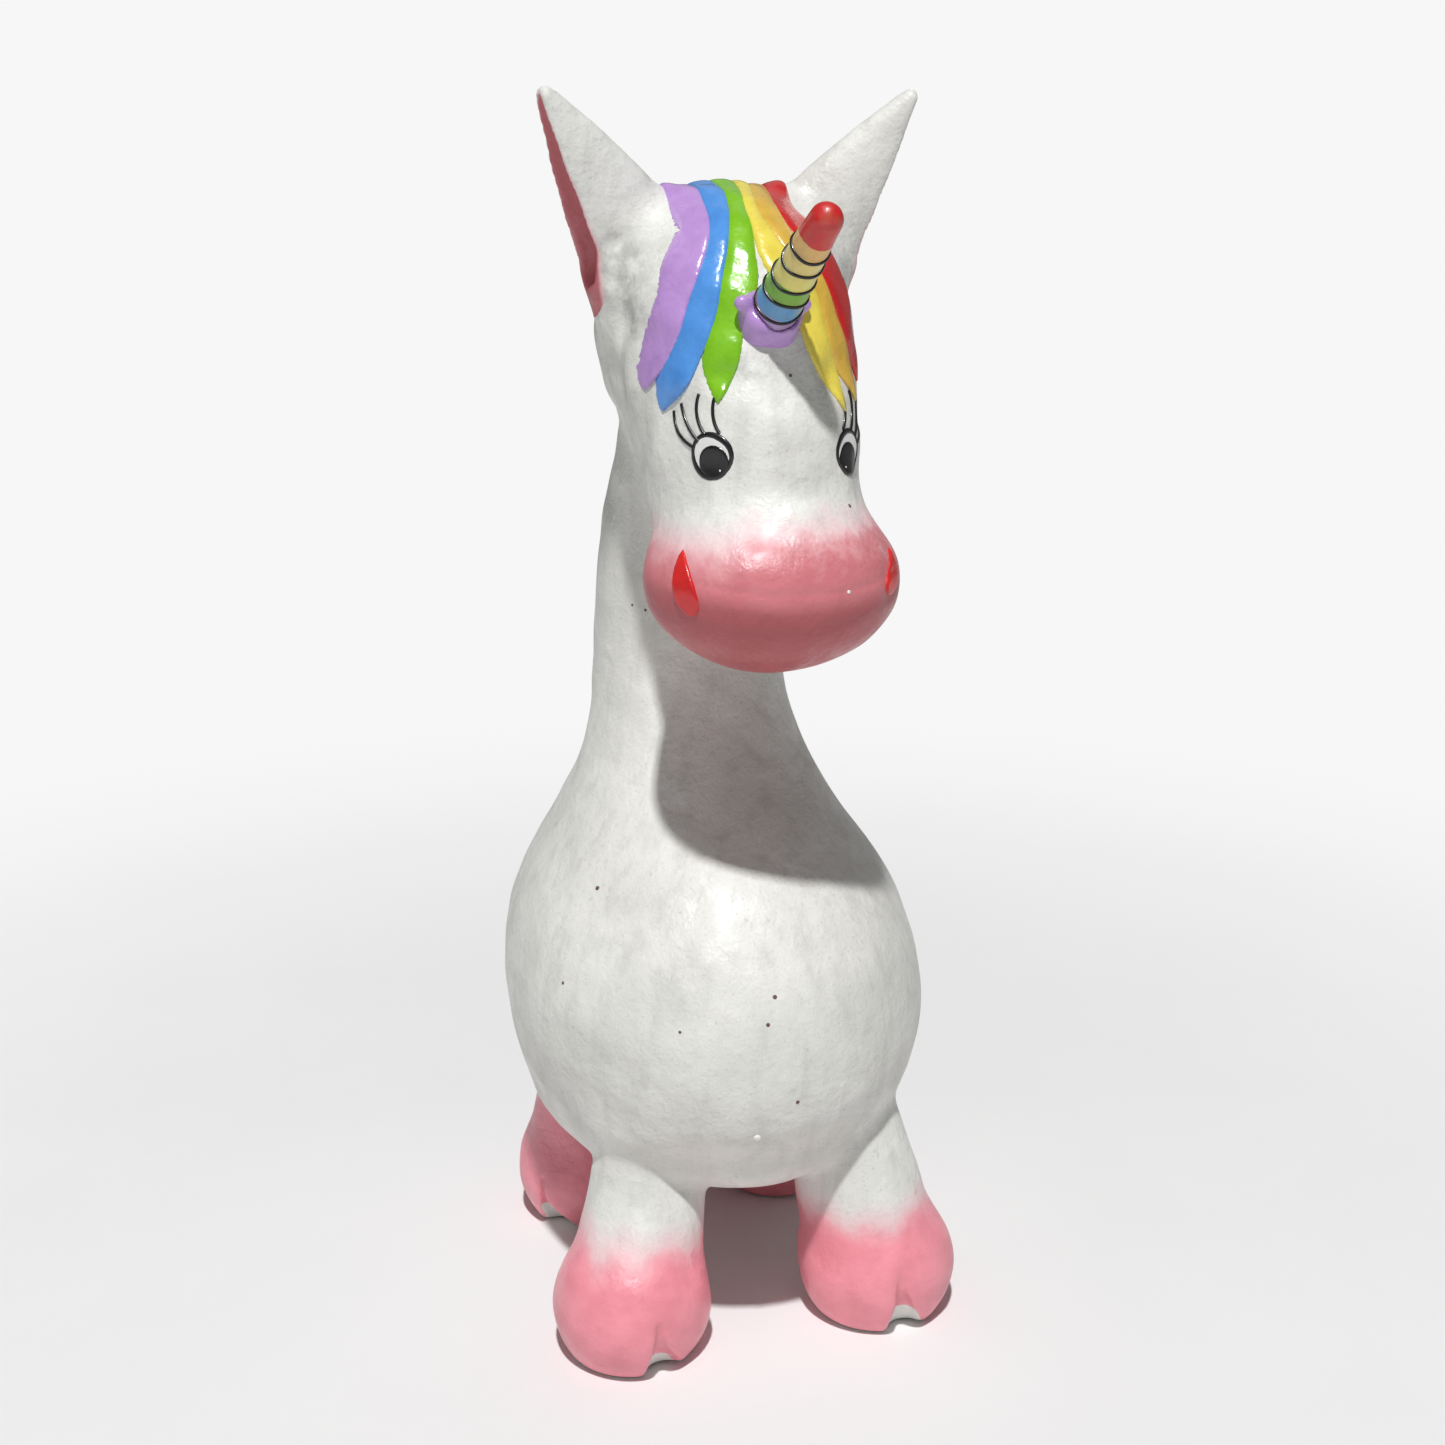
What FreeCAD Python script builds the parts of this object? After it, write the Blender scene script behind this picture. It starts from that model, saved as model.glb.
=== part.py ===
import FreeCAD, Part
import math
import os

os.makedirs("parts", exist_ok=True)

# A hollow moulded-paper pinata in the shape of a standing unicorn, 300 mm tall to its ear tips.
# Millimetres. +Z is up and the animal looks along -Y, so its own left side is +X.
# The sides of the body are mirror images, the legs and the painted locks are not.

Vector = FreeCAD.Vector
UP = Vector(0, 0, 1)

# Driving dimensions
PLAN_SHIFT = -1.8            # moves the finished pieces so that the footprint is centred on the origin
WALL = 3.5                   # moulded paper wall
STRIP_THICKNESS = 1.2        # paper strips pasted inside over the joints
STRIP_HALF_WIDTH = 7.0
HEAD_STRIP_RISE = 12.0        # from the lowest head ring up to the bottom edge of the head's strip
RAISE = {"forelock": 1.5, "mane": 2.4, "tail": 4.2}   # how far the locks stand above the surface

# Rings of the barrel, chest and neck: height, front, rear, half width
TORSO_RINGS = [
    (58, -55, 65, 49.3),
    (74, -60, 70.5, 52.6),
    (90, -58, 72, 52.4),
    (105, -49.5, 69, 47.7),
    (120, -35, 61, 38.5),
    (134, -20, 54, 30.5),
    (147, -8, 51, 26.2),
    (162, 0, 51, 24.3),
    (182, 2.4, 50, 23.3),
    (205, -1, 44, 20.8),
    (225, -8, 35.5, 19.6),
    (240, -12, 32, 20.5),
]
BELLY_DROP = 28.5            # from the lowest torso ring down to where the belly would close
BELLY_ANGLES = (20, 40, 55, 66)

# Rings of the skull and face, without the muzzle
HEAD_RINGS = [
    (218, -55, 14, 25),
    (226, -54.5, 25.5, 25.5),
    (236, -51.5, 32.5, 27),
    (246, -47, 34.5, 28.5),
    (252, -45, 34, 28.2),
]
CROWN_RISE = 28.0
JAW_DROP = 25.0
DOME_ANGLES = (25, 45, 62, 76)

MUZZLE_RING = (194, -68, -16, 29.3)
MUZZLE_RISE = 20.5

# Legs: foot centre x and y, top x and y, top radius, splay in degrees, foot half width,
# and the cleft's bearing in degrees about the foot, measured from straight ahead
LEGS = {
    "front_right": (-33.6, -37.5, -30, -31, 16.0, -6, 18.6, 14),
    "front_left": (31.3, -37.5, 23, -29, 14.5, 14, 19.6, 12),
    "rear_right": (-27, 34.5, -24, 30, 14.5, -35, 18.0, -35),
    "rear_left": (28, 34.5, 24, 30, 14.5, 35, 18.0, 35),
}
FOOT_LENGTH = 38.0
ANKLE_RADIUS = 17.3
ANKLE_HEIGHT = 16.0
LEG_TOP = 56.0
# Height and share of the full foot outline, from the sole to the ankle
FOOT_PROFILE = [(0, 0.80), (2.5, 0.90), (7, 0.985), (13, 1.0), (20, 0.955)]
SHANK_HEIGHTS = (28, 35, 42, 49)
CLEFT_HEIGHT = 15.0
CLEFT_RADIUS = 3.4
CLEFT_TIP_RADIUS = 0.6
CLEFT_SINK = 0.5              # the cone that cuts the cleft starts this far below the sole
PEG_RADIUS = 4.0
PEG_BOTTOM = 14.0
PEG_TOP = 52.0

# Ears: root and tip of the left ear's centre line, and its sections (share of length, half width, half depth)
EAR_ROOT = Vector(24.5, -3, 256)
EAR_TIP = Vector(43.3, -13, 298.5)
EAR_SECTIONS = [
    (-0.18, 8.5, 8.6),
    (0.05, 13.2, 10.2),
    (0.25, 12.4, 8.6),
    (0.60, 7.6, 5.8),
    (0.85, 4.6, 3.8),
    (1.00, 2.8, 2.6),
    (1.045, 1.4, 1.3),
]
EAR_HOLLOW_FROM = 0.12
EAR_HOLLOW_TO = 0.86
EAR_HOLLOW_OFFSET = 0.92     # of the half width, outwards
EAR_HOLLOW_SCALE = 0.58

# Horn, on a dowel, in a collar of paper pulp
HORN_ROOT = Vector(0, -43, 252)
HORN_TIP = Vector(0, -71.3, 276.3)
HORN_ROOT_RADIUS = 5.8
HORN_END_RADIUS = 4.0
HORN_TIP_ROUNDING = 3.2
HORN_START = -4.0            # along the horn's axis from its root, so that it meets the forehead all round
COLLAR_RADIUS = 8.4
COLLAR_END_RADIUS = 6.9
COLLAR_TOP = 5.6
DOWEL_RADIUS = 2.0
DOWEL_START = -14.0
DOWEL_END = 24.0

# Neck core: a rolled card tube through two card rings
NECK_CORE_FOOT = Vector(0, 27, 148)
NECK_CORE_HEAD = Vector(0, 12, 248)
NECK_CORE_RADIUS = 12.0
NECK_CORE_BORE = 10.0
NECK_RING_HEIGHTS = {"neck_ring_lower": 152, "neck_ring_upper": 214}
NECK_RING_THICKNESS = 3.0

# Filler hole in the flat of the belly, with its plug and lifting tab
HOLE_Y = 5.0
HOLE_RADIUS = 11.0
HOLE_TOP = 57.0               # height to which the hole's cutting tool reaches, well above the wall
PLUG_CLEARANCE = 0.3
PLUG_DEPTH = 6.5
FILLER_RING_RADIUS = 16.0
FILLER_RING_THICKNESS = 3.0
TAB_SIZE = (13.0, 7.0, 1.0)

# Locks: one row per cross-section, (position, middle x, width), ending at the tip.
# On the forelock the position is the angle forwards from straight up, about the middle of the skull.
SKULL_Y = -5.0
SKULL_Z = 235.0
FORELOCK_RADIUS = 44.0
FORELOCK = {
    "lilac": [(-9, -11.0, 7.5), (25, -12.7, 6.8), (45, -17.7, 7.6), (66, -22.7, 4.8), (87, -25.2, 0)],
    "blue": [(-9, -4.6, 5.0), (25, -7.0, 4.8), (45, -11.2, 5.0), (70, -17.6, 5.6), (95, -23.0, 0)],
    "green": [(-9, -0.4, 4.0), (25, -2.7, 3.6), (45, -6.0, 5.2), (70, -11.2, 6.0), (90, -14.6, 0)],
    "yellow": [(-9, 3.4, 3.6), (25, 0.8, 3.4), (45, 2.2, 5.2), (72, 9.2, 6.6), (94, 15.3, 0)],
    "gold": [(-9, 7.6, 4.2), (25, 4.6, 4.0), (45, 7.6, 4.6), (70, 15.3, 4.4), (92, 20.0, 0)],
    "red": [(-9, 12.4, 5.0), (25, 10.6, 7.4), (45, 15.4, 8.6), (68, 20.2, 5.2), (86, 23.4, 0)],
}
# On the mane and the tail the position is the height.
MANE = {
    "lilac": [(276, -10.5, 7.0), (240, -11.0, 5.5), (200, -12.5, 6.5), (165, -10.5, 4.5), (146, -12.5, 0)],
    "blue": [(276, -5.0, 4.6), (240, -6.0, 5.0), (200, -7.0, 5.0), (160, -4.6, 6.0), (132, -8.0, 0)],
    "green": [(276, -0.8, 4.2), (240, -1.6, 4.4), (200, -1.8, 5.4), (155, 0.8, 5.4), (122, -2.5, 0)],
    "yellow": [(276, 3.2, 4.0), (240, 2.8, 4.4), (200, 3.4, 5.0), (155, 6.0, 5.2), (126, 3.5, 0)],
    "gold": [(276, 7.4, 4.4), (240, 7.2, 4.4), (200, 8.2, 4.6), (162, 10.8, 4.6), (136, 8.8, 0)],
    "red": [(276, 11.8, 5.0), (240, 12.0, 5.4), (200, 12.8, 5.0), (168, 14.6, 3.6), (150, 13.2, 0)],
}
TAIL = {
    "lilac": [(116, -5.5, 2.6), (96, -9.5, 5.4), (72, -13.5, 5.6), (54, -12.0, 4.0), (42, -14.5, 0)],
    "blue": [(118, -3.4, 2.6), (96, -4.9, 4.4), (70, -8.0, 5.6), (48, -7.0, 4.6), (34, -9.5, 0)],
    "green": [(119, -1.0, 2.4), (96, -1.2, 3.8), (70, -2.4, 5.4), (46, -2.0, 4.8), (28, -4.0, 0)],
    "yellow": [(119, 1.4, 2.4), (96, 2.2, 3.4), (70, 3.0, 5.2), (46, 3.0, 4.8), (30, 1.5, 0)],
    "gold": [(118, 3.6, 2.4), (96, 5.6, 3.8), (70, 8.2, 5.0), (50, 7.8, 4.4), (36, 6.8, 0)],
    "red": [(116, 5.9, 2.6), (96, 9.8, 5.0), (74, 13.6, 5.2), (58, 13.0, 3.8), (46, 14.0, 0)],
}

# A closed cubic curve through twelve evenly spaced poles follows an ellipse closely once they stand out this much
RING_POLES = 12
POLE_REACH = 6 / (4 + 2 * math.cos(2 * math.pi / RING_POLES))
FAR = 400.0


def ring(x, y, z, half_x, half_y):
    """One level elliptical section as a wire."""
    poles = []
    for number in range(RING_POLES):
        angle = 2 * math.pi * number / RING_POLES - math.pi / 2
        across = half_x * POLE_REACH * math.cos(angle)
        along = half_y * POLE_REACH * math.sin(angle)
        poles.append(Vector(x + across, y + along, z))
    curve = Part.BSplineCurve()
    curve.buildFromPolesMultsKnots(poles, [1] * (RING_POLES + 1), list(range(RING_POLES + 1)), True, 3)
    return Part.Wire([curve.toShape()])


def dome(section, rise, angles):
    """Sections that close a form above (or, with a negative rise, below) its last full section."""
    z, front, rear, half_width = section
    middle = (front + rear) / 2
    half_length = (rear - front) / 2
    rows = []
    for angle in angles:
        share = math.cos(math.radians(angle))
        height = z + rise * math.sin(math.radians(angle))
        rows.append((height, middle - half_length * share, middle + half_length * share, half_width * share))
    return rows


def form(rows, grow=0.0):
    """A solid through sections given as height, front, rear and half width, grown or shrunk sideways."""
    wires = []
    for z, front, rear, half_width in rows:
        wires.append(ring(0, (front + rear) / 2, z, half_width + grow, (rear - front) / 2 + grow))
    return Part.makeLoft(wires, True, False)


def belly_rows(grow=0.0):
    """Sections of the belly, the flat one last; a shrunk belly also ends higher up."""
    return dome(TORSO_RINGS[0], -(BELLY_DROP + min(grow, 0)), BELLY_ANGLES)


def torso_form(grow=0.0):
    """The barrel, chest and neck, with a flat on the belly."""
    return form(belly_rows(grow)[::-1] + TORSO_RINGS, grow)


def head_form(grow=0.0):
    """The skull and face."""
    lower = dome(HEAD_RINGS[0], -JAW_DROP - grow, DOME_ANGLES)[::-1]
    upper = dome(HEAD_RINGS[-1], CROWN_RISE + grow, DOME_ANGLES)
    return form(lower + HEAD_RINGS + upper, grow)


def muzzle_form(grow=0.0):
    """The muzzle, an egg lying across the face."""
    lower = dome(MUZZLE_RING, -MUZZLE_RISE - grow, DOME_ANGLES)[::-1]
    upper = dome(MUZZLE_RING, MUZZLE_RISE + grow, DOME_ANGLES)
    return form(lower + [MUZZLE_RING] + upper, grow)


def rod(start, end, radius, end_radius=None):
    """A round rod or cone between two points."""
    axis = end - start
    if end_radius is None:
        return Part.makeCylinder(radius, axis.Length, start, axis)
    return Part.makeCone(radius, end_radius, axis.Length, start, axis)


def side_block(side):
    """Everything on one side of the middle plane: side is 1 for the left, -1 for the right."""
    corner = Vector(0 if side > 0 else -FAR, -FAR, -FAR)
    return Part.makeBox(FAR, 2 * FAR, 2 * FAR, corner)


def middle_block(low_z, high_z):
    """The band along the middle plane that the inner joint strips cover."""
    corner = Vector(-STRIP_HALF_WIDTH, -FAR, low_z)
    return Part.makeBox(2 * STRIP_HALF_WIDTH, 2 * FAR, high_z - low_z, corner)


def largest(shape):
    """The biggest solid of a cut, without its slivers."""
    return max(shape.Solids, key=lambda solid: solid.Volume)


def leg_form(foot_x, foot_y, top_x, top_y, top_radius, splay, half_width, cleft):
    """One leg from its flat sole up into the body, with the cleft that parts the two toes."""
    foot = Vector(foot_x, foot_y, 0)
    lean = FreeCAD.Rotation(UP, -splay).multVec(Vector(top_x - foot_x, top_y - foot_y, 0))
    wires = []
    for z, share in FOOT_PROFILE:
        wires.append(ring(0, 0, z, half_width * share, FOOT_LENGTH / 2 * share))
    for z in SHANK_HEIGHTS + (LEG_TOP,):
        share = (z - ANKLE_HEIGHT) / (LEG_TOP - ANKLE_HEIGHT)
        radius = ANKLE_RADIUS + (top_radius - ANKLE_RADIUS) * share
        wires.append(ring(lean.x * share, lean.y * share, z, radius, radius))
    leg = Part.makeLoft(wires, True, False)
    bearing = math.radians(cleft - 90)
    mouth = Vector(math.cos(bearing), math.sin(bearing), 0) * (FOOT_LENGTH / 2) - UP * CLEFT_SINK
    leg = leg.cut(Part.makeCone(CLEFT_RADIUS, CLEFT_TIP_RADIUS, CLEFT_HEIGHT, mouth, UP))
    leg.rotate(Vector(0, 0, 0), UP, splay)
    leg.translate(foot)
    return leg


def leg_point(foot_x, foot_y, top_x, top_y, z):
    """The point of a leg's centre line at a height."""
    share = (z - ANKLE_HEIGHT) / (LEG_TOP - ANKLE_HEIGHT)
    return Vector(foot_x + (top_x - foot_x) * share, foot_y + (top_y - foot_y) * share, z)


def ear_form(side):
    """One ear: a leaf with a scooped hollow that faces outwards."""
    root = Vector(side * EAR_ROOT.x, EAR_ROOT.y, EAR_ROOT.z)
    axis = Vector(side * EAR_TIP.x, EAR_TIP.y, EAR_TIP.z) - root
    length = axis.Length
    axis.normalize()
    depth = Vector(0, 1, 0) - axis * axis.y
    depth.normalize()
    width = depth.cross(axis) * side
    leaf_wires = []
    hollow_wires = []
    for share, half_width, half_depth in EAR_SECTIONS:
        leaf_wires.append(ring(0, 0, share * length, half_width, half_depth))
        if EAR_HOLLOW_FROM < share < EAR_HOLLOW_TO:
            offset = side * EAR_HOLLOW_OFFSET * half_width
            scaled = (half_width * EAR_HOLLOW_SCALE, half_depth * EAR_HOLLOW_SCALE)
            hollow_wires.append(ring(offset, 0, share * length, scaled[0], scaled[1]))
    leaf = Part.makeLoft(leaf_wires, True, False)
    leaf = leaf.cut(Part.makeLoft(hollow_wires, True, False))
    across = width * side
    place = FreeCAD.Matrix(
        across.x, depth.x, axis.x, root.x,
        across.y, depth.y, axis.y, root.y,
        across.z, depth.z, axis.z, root.z,
        0, 0, 0, 1)
    leaf.transformShape(place)
    return leaf


def horn_point(distance):
    """A point on the horn's axis, measured from its root."""
    axis = HORN_TIP - HORN_ROOT
    axis.normalize()
    return HORN_ROOT + axis * distance


def lock_face(rows, place):
    """A leaf-shaped face from cross-sections; place turns a position and an x into a point."""
    left = [place(position, x - width / 2) for position, x, width in rows]
    right = [place(position, x + width / 2) for position, x, width in rows]
    left_edge = Part.BSplineCurve()
    left_edge.interpolate(left)
    right_edge = Part.BSplineCurve()
    right_edge.interpolate(right[::-1])
    root_edge = Part.makeLine(right[0], left[0])
    return Part.Face(Part.Wire([left_edge.toShape(), right_edge.toShape(), root_edge]))


def forelock_place(angle, x):
    """A point of the forelock's pattern, on a plane that leans forwards at 45 degrees behind the forehead."""
    slide = FORELOCK_RADIUS * math.sin(math.radians(angle - 45)) * math.sqrt(0.5)
    return Vector(x, SKULL_Y - slide, SKULL_Z - slide)


def rear_place(height, x):
    """A point of the mane's or tail's pattern, on the upright plane through the middle of the barrel."""
    return Vector(x, HOLE_Y, height)


def locks(group, table, place, direction, raised, covered):
    """Cut every lock of a group out of the raised layer, each only up to those before it, by node name."""
    layer = raised
    for solid in covered:
        layer = layer.cut(solid)
    made = {}
    outlines = []
    for colour, rows in table.items():
        outline = lock_face(rows, place)
        for neighbour in outlines:
            outline = outline.cut(neighbour)
        outlines.append(outline)
        made[group + "_" + colour] = largest(layer.common(outline.extrude(direction)))
    return made


torso = torso_form()
torso_inside = torso_form(-WALL)
head = head_form()
head_inside = head_form(-WALL)
muzzle = muzzle_form()
muzzle_inside = muzzle_form(-WALL)
belly_flat = belly_rows()[-1][0]
nodes = {}

# Pegs, horn dowel and neck core, which the moulded pieces are bored for
pegs = {}
for name, sizes in LEGS.items():
    pegs[name] = rod(leg_point(*sizes[:4], PEG_BOTTOM), leg_point(*sizes[:4], PEG_TOP), PEG_RADIUS)
    nodes[name + "_leg_peg"] = pegs[name]
nodes["horn_dowel"] = rod(horn_point(DOWEL_START), horn_point(DOWEL_END), DOWEL_RADIUS)
neck_core = rod(NECK_CORE_FOOT, NECK_CORE_HEAD, NECK_CORE_RADIUS)
nodes["neck_tube"] = neck_core.cut(rod(NECK_CORE_FOOT, NECK_CORE_HEAD, NECK_CORE_BORE))

# Body shells
hole = Part.makeCylinder(HOLE_RADIUS, HOLE_TOP, Vector(0, HOLE_Y, 0), UP)
body_wall = torso.cut(torso_inside).cut(hole)
for peg in pegs.values():
    body_wall = body_wall.cut(peg)
nodes["body_shell_left"] = largest(body_wall.common(side_block(1)))
nodes["body_shell_right"] = largest(body_wall.common(side_block(-1)))

# Card rings inside the neck, and the ring that stiffens the filler hole
for name, height in NECK_RING_HEIGHTS.items():
    slab = Part.makeBox(2 * FAR, 2 * FAR, NECK_RING_THICKNESS, Vector(-FAR, -FAR, height))
    nodes[name] = largest(slab.common(torso_inside).cut(neck_core))
inner_floor = belly_rows(-WALL)[-1][0]
filler_disc = Part.makeCylinder(FILLER_RING_RADIUS, FILLER_RING_THICKNESS, Vector(0, HOLE_Y, inner_floor), UP)
nodes["filler_ring"] = filler_disc.common(torso_inside).cut(hole)

# Paper strips inside, over the joints between the halves
body_strip = torso_inside.cut(torso_form(-WALL - STRIP_THICKNESS))
body_strip = body_strip.common(middle_block(inner_floor, NECK_RING_HEIGHTS["neck_ring_lower"]))
body_strip = body_strip.cut(Part.makeCylinder(FILLER_RING_RADIUS, BELLY_DROP, Vector(0, HOLE_Y, belly_flat), UP))
nodes["body_seam_strip"] = body_strip
head_strip = head_inside.cut(head_form(-WALL - STRIP_THICKNESS)).cut(torso)
nodes["head_seam_strip"] = head_strip.common(middle_block(HEAD_RINGS[-1][0] + HEAD_STRIP_RISE, FAR))

# Head
head_wall = head.cut(head_inside).cut(torso).cut(nodes["horn_dowel"])
nodes["head_shell_left"] = largest(head_wall.common(side_block(1)))
nodes["head_shell_right"] = largest(head_wall.common(side_block(-1)))
nodes["muzzle_shell"] = largest(muzzle.cut(muzzle_inside).cut(head))
for side_name, side in (("left", 1), ("right", -1)):
    nodes["ear_" + side_name] = largest(ear_form(side).cut(head))

# Horn and collar
horn_solid = rod(horn_point(HORN_START), HORN_TIP, HORN_ROOT_RADIUS, HORN_END_RADIUS)
horn_edges = [edge for edge in horn_solid.Edges if edge.Closed and edge.BoundBox.ZMin > HORN_TIP.z - HORN_END_RADIUS]
horn_solid = horn_solid.makeFillet(HORN_TIP_ROUNDING, horn_edges)
nodes["horn"] = largest(horn_solid.cut(nodes["horn_dowel"]).cut(head))
collar = rod(horn_point(HORN_START), horn_point(COLLAR_TOP), COLLAR_RADIUS, COLLAR_END_RADIUS)
nodes["horn_collar"] = largest(collar.cut(horn_solid).cut(head))

# Legs
for name, sizes in LEGS.items():
    nodes[name + "_leg"] = largest(leg_form(*sizes).cut(torso).cut(pegs[name]))

# Locks of the forelock, mane and tail
forward_up = Vector(0, -1, 1) * FAR
backward = Vector(0, 1, 0) * FAR
nodes.update(locks("forelock", FORELOCK, forelock_place, forward_up, head_form(RAISE["forelock"]),
                   [head, nodes["horn_collar"], horn_solid]))
mane_form = head_form(RAISE["mane"]).fuse(torso_form(RAISE["mane"]))
nodes.update(locks("mane", MANE, rear_place, backward, mane_form, [head, torso]))
nodes.update(locks("tail", TAIL, rear_place, backward, torso_form(RAISE["tail"]), [torso]))

# Filler plug, flush with the belly, and its tab
plug_radius = HOLE_RADIUS - PLUG_CLEARANCE
nodes["filler_plug"] = Part.makeCylinder(plug_radius, PLUG_DEPTH, Vector(0, HOLE_Y, belly_flat), UP)
tab_corner = Vector(-TAB_SIZE[0] / 2, HOLE_Y - TAB_SIZE[1] / 2, belly_flat - TAB_SIZE[2])
nodes["filler_tab"] = Part.makeBox(*TAB_SIZE, tab_corner)

for name, shape in nodes.items():
    shape.translate(Vector(0, PLAN_SHIFT, 0))
    shape.exportStep("parts/" + name + ".step")
    box = shape.BoundBox
    print(name, shape.isValid(), len(shape.Solids), round(shape.Volume), "y", round(box.YMin, 2),
          round(box.YMax, 2), "z", round(box.ZMin, 2), round(box.ZMax, 2))
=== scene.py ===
"""A moulded-paper unicorn pinata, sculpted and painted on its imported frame.

Forms are described in millimetres in the figure's own frame: +Z is up, the animal looks along -Y and its own
left side is +X. Meshes are made in metres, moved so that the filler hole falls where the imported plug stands.
"""

import logging
import math
from dataclasses import dataclass, field
from enum import Enum
from typing import Callable, Optional, Sequence

import bpy
import numpy as np
import openvdb
from mathutils import Matrix, Vector


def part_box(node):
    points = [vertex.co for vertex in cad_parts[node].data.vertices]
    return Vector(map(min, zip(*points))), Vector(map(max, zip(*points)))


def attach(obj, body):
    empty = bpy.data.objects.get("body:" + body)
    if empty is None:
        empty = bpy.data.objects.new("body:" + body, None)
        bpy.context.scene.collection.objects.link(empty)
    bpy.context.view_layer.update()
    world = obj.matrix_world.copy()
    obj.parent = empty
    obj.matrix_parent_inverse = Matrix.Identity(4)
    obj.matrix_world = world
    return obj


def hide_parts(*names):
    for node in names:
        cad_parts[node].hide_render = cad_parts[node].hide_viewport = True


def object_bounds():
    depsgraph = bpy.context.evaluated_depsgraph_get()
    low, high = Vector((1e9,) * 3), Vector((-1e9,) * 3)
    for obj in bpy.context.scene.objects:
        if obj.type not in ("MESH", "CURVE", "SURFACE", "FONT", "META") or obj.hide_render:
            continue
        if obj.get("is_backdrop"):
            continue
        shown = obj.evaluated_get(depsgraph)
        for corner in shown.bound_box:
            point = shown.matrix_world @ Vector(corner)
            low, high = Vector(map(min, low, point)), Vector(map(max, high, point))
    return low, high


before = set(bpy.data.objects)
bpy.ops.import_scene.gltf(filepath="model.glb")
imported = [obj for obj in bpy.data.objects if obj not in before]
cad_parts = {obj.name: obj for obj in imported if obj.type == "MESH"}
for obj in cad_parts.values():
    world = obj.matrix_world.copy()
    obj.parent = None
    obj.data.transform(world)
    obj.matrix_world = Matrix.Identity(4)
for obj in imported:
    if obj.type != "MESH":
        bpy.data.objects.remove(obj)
CAD_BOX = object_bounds()

log = logging.getLogger("pinata")

Array = np.ndarray
Field = Callable[[Array, Array, Array], Array]
Point = tuple[float, float, float]

MM = 0.001
FIGURE = "figure"
PLUG = "plug"
FILLER_HOLE_Y = 5.0
PLUG_LOW, PLUG_HIGH = (Vector(corner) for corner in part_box("filler_plug"))
PLAN_SHIFT = (PLUG_LOW.y + PLUG_HIGH.y) / 2 / MM - FILLER_HOLE_Y
SKIN_PITCH = 0.8
FILM_PITCH = 0.3
SEED = 7


class Side(Enum):
    """The animal's own left and right."""

    LEFT = 1
    RIGHT = -1

    @property
    def word(self) -> str:
        """The side's name as it is used in node names."""
        return self.name.lower()


# ---------------------------------------------------------------- fields


def melt(first: Array, second: Array, reach: float) -> Array:
    """Join two forms with a fillet.

    Args:
        first: Distances to one form.
        second: Distances to the other form.
        reach: Width of the fillet in millimetres.

    Returns:
        Distances to the joined form.
    """
    share = np.clip(0.5 + 0.5 * (second - first) / reach, 0, 1)
    return second + (first - second) * share - reach * share * (1 - share)


def carve(form: Array, tool: Array, reach: float) -> Array:
    """Cut a tool out of a form, with rounded lips.

    Args:
        form: Distances to the form.
        tool: Distances to the tool.
        reach: Width of the rounding in millimetres.

    Returns:
        Distances to what is left.
    """
    return -melt(-form, tool, reach)


def smooth_step(value: Array, low: float, high: float) -> Array:
    """Rise from 0 at low to 1 at high."""
    share = np.clip((value - low) / (high - low), 0, 1)
    return share * share * (3 - 2 * share)


def ellipsoid(x: Array, y: Array, z: Array, centre: Point, radii: Point) -> Array:
    """Distances to an ellipsoid.

    Args:
        x, y, z: Coordinates of the points.
        centre: The ellipsoid's centre.
        radii: Its half axes.

    Returns:
        Approximate signed distances.
    """
    parts = [(value - middle) / radius for value, middle, radius in zip((x, y, z), centre, radii)]
    near = np.sqrt(sum(part * part for part in parts))
    slope = np.sqrt(sum((part / radius) ** 2 for part, radius in zip(parts, radii))) + 1e-6
    return near * (near - 1) / slope


def tapered_rod(x: Array, y: Array, z: Array, start: Point, end: Point, radius: float, end_radius: float) -> Array:
    """Distances to a round rod with domed ends and an even taper.

    Args:
        x, y, z: Coordinates of the points.
        start, end: The ends of its axis.
        radius, end_radius: Its radii there.

    Returns:
        Approximate signed distances.
    """
    axis = np.subtract(end, start)
    dx, dy, dz = x - start[0], y - start[1], z - start[2]
    share = np.clip((dx * axis[0] + dy * axis[1] + dz * axis[2]) / float(axis @ axis), 0, 1)
    gap = np.sqrt((dx - share * axis[0]) ** 2 + (dy - share * axis[1]) ** 2 + (dz - share * axis[2]) ** 2)
    return gap - (radius + (end_radius - radius) * share)


def ripple(x: Array, y: Array, z: Array, wavelength: float, seed: int) -> Array:
    """A gentle hand-made unevenness, between about -1 and 1.

    Args:
        x, y, z: Coordinates of the points.
        wavelength: Typical distance between lumps in millimetres.
        seed: Which of the many possible patterns.

    Returns:
        The height of the pattern at each point.
    """
    draw = np.random.default_rng(seed)
    waves = 7
    total = np.zeros_like(x)
    for _ in range(waves):
        direction = draw.normal(size=3)
        direction *= 2 * math.pi / wavelength * draw.uniform(0.6, 1.4) / np.linalg.norm(direction)
        total += np.sin(x * direction[0] + y * direction[1] + z * direction[2] + draw.uniform(0, 2 * math.pi))
    return total / math.sqrt(waves)


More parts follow.
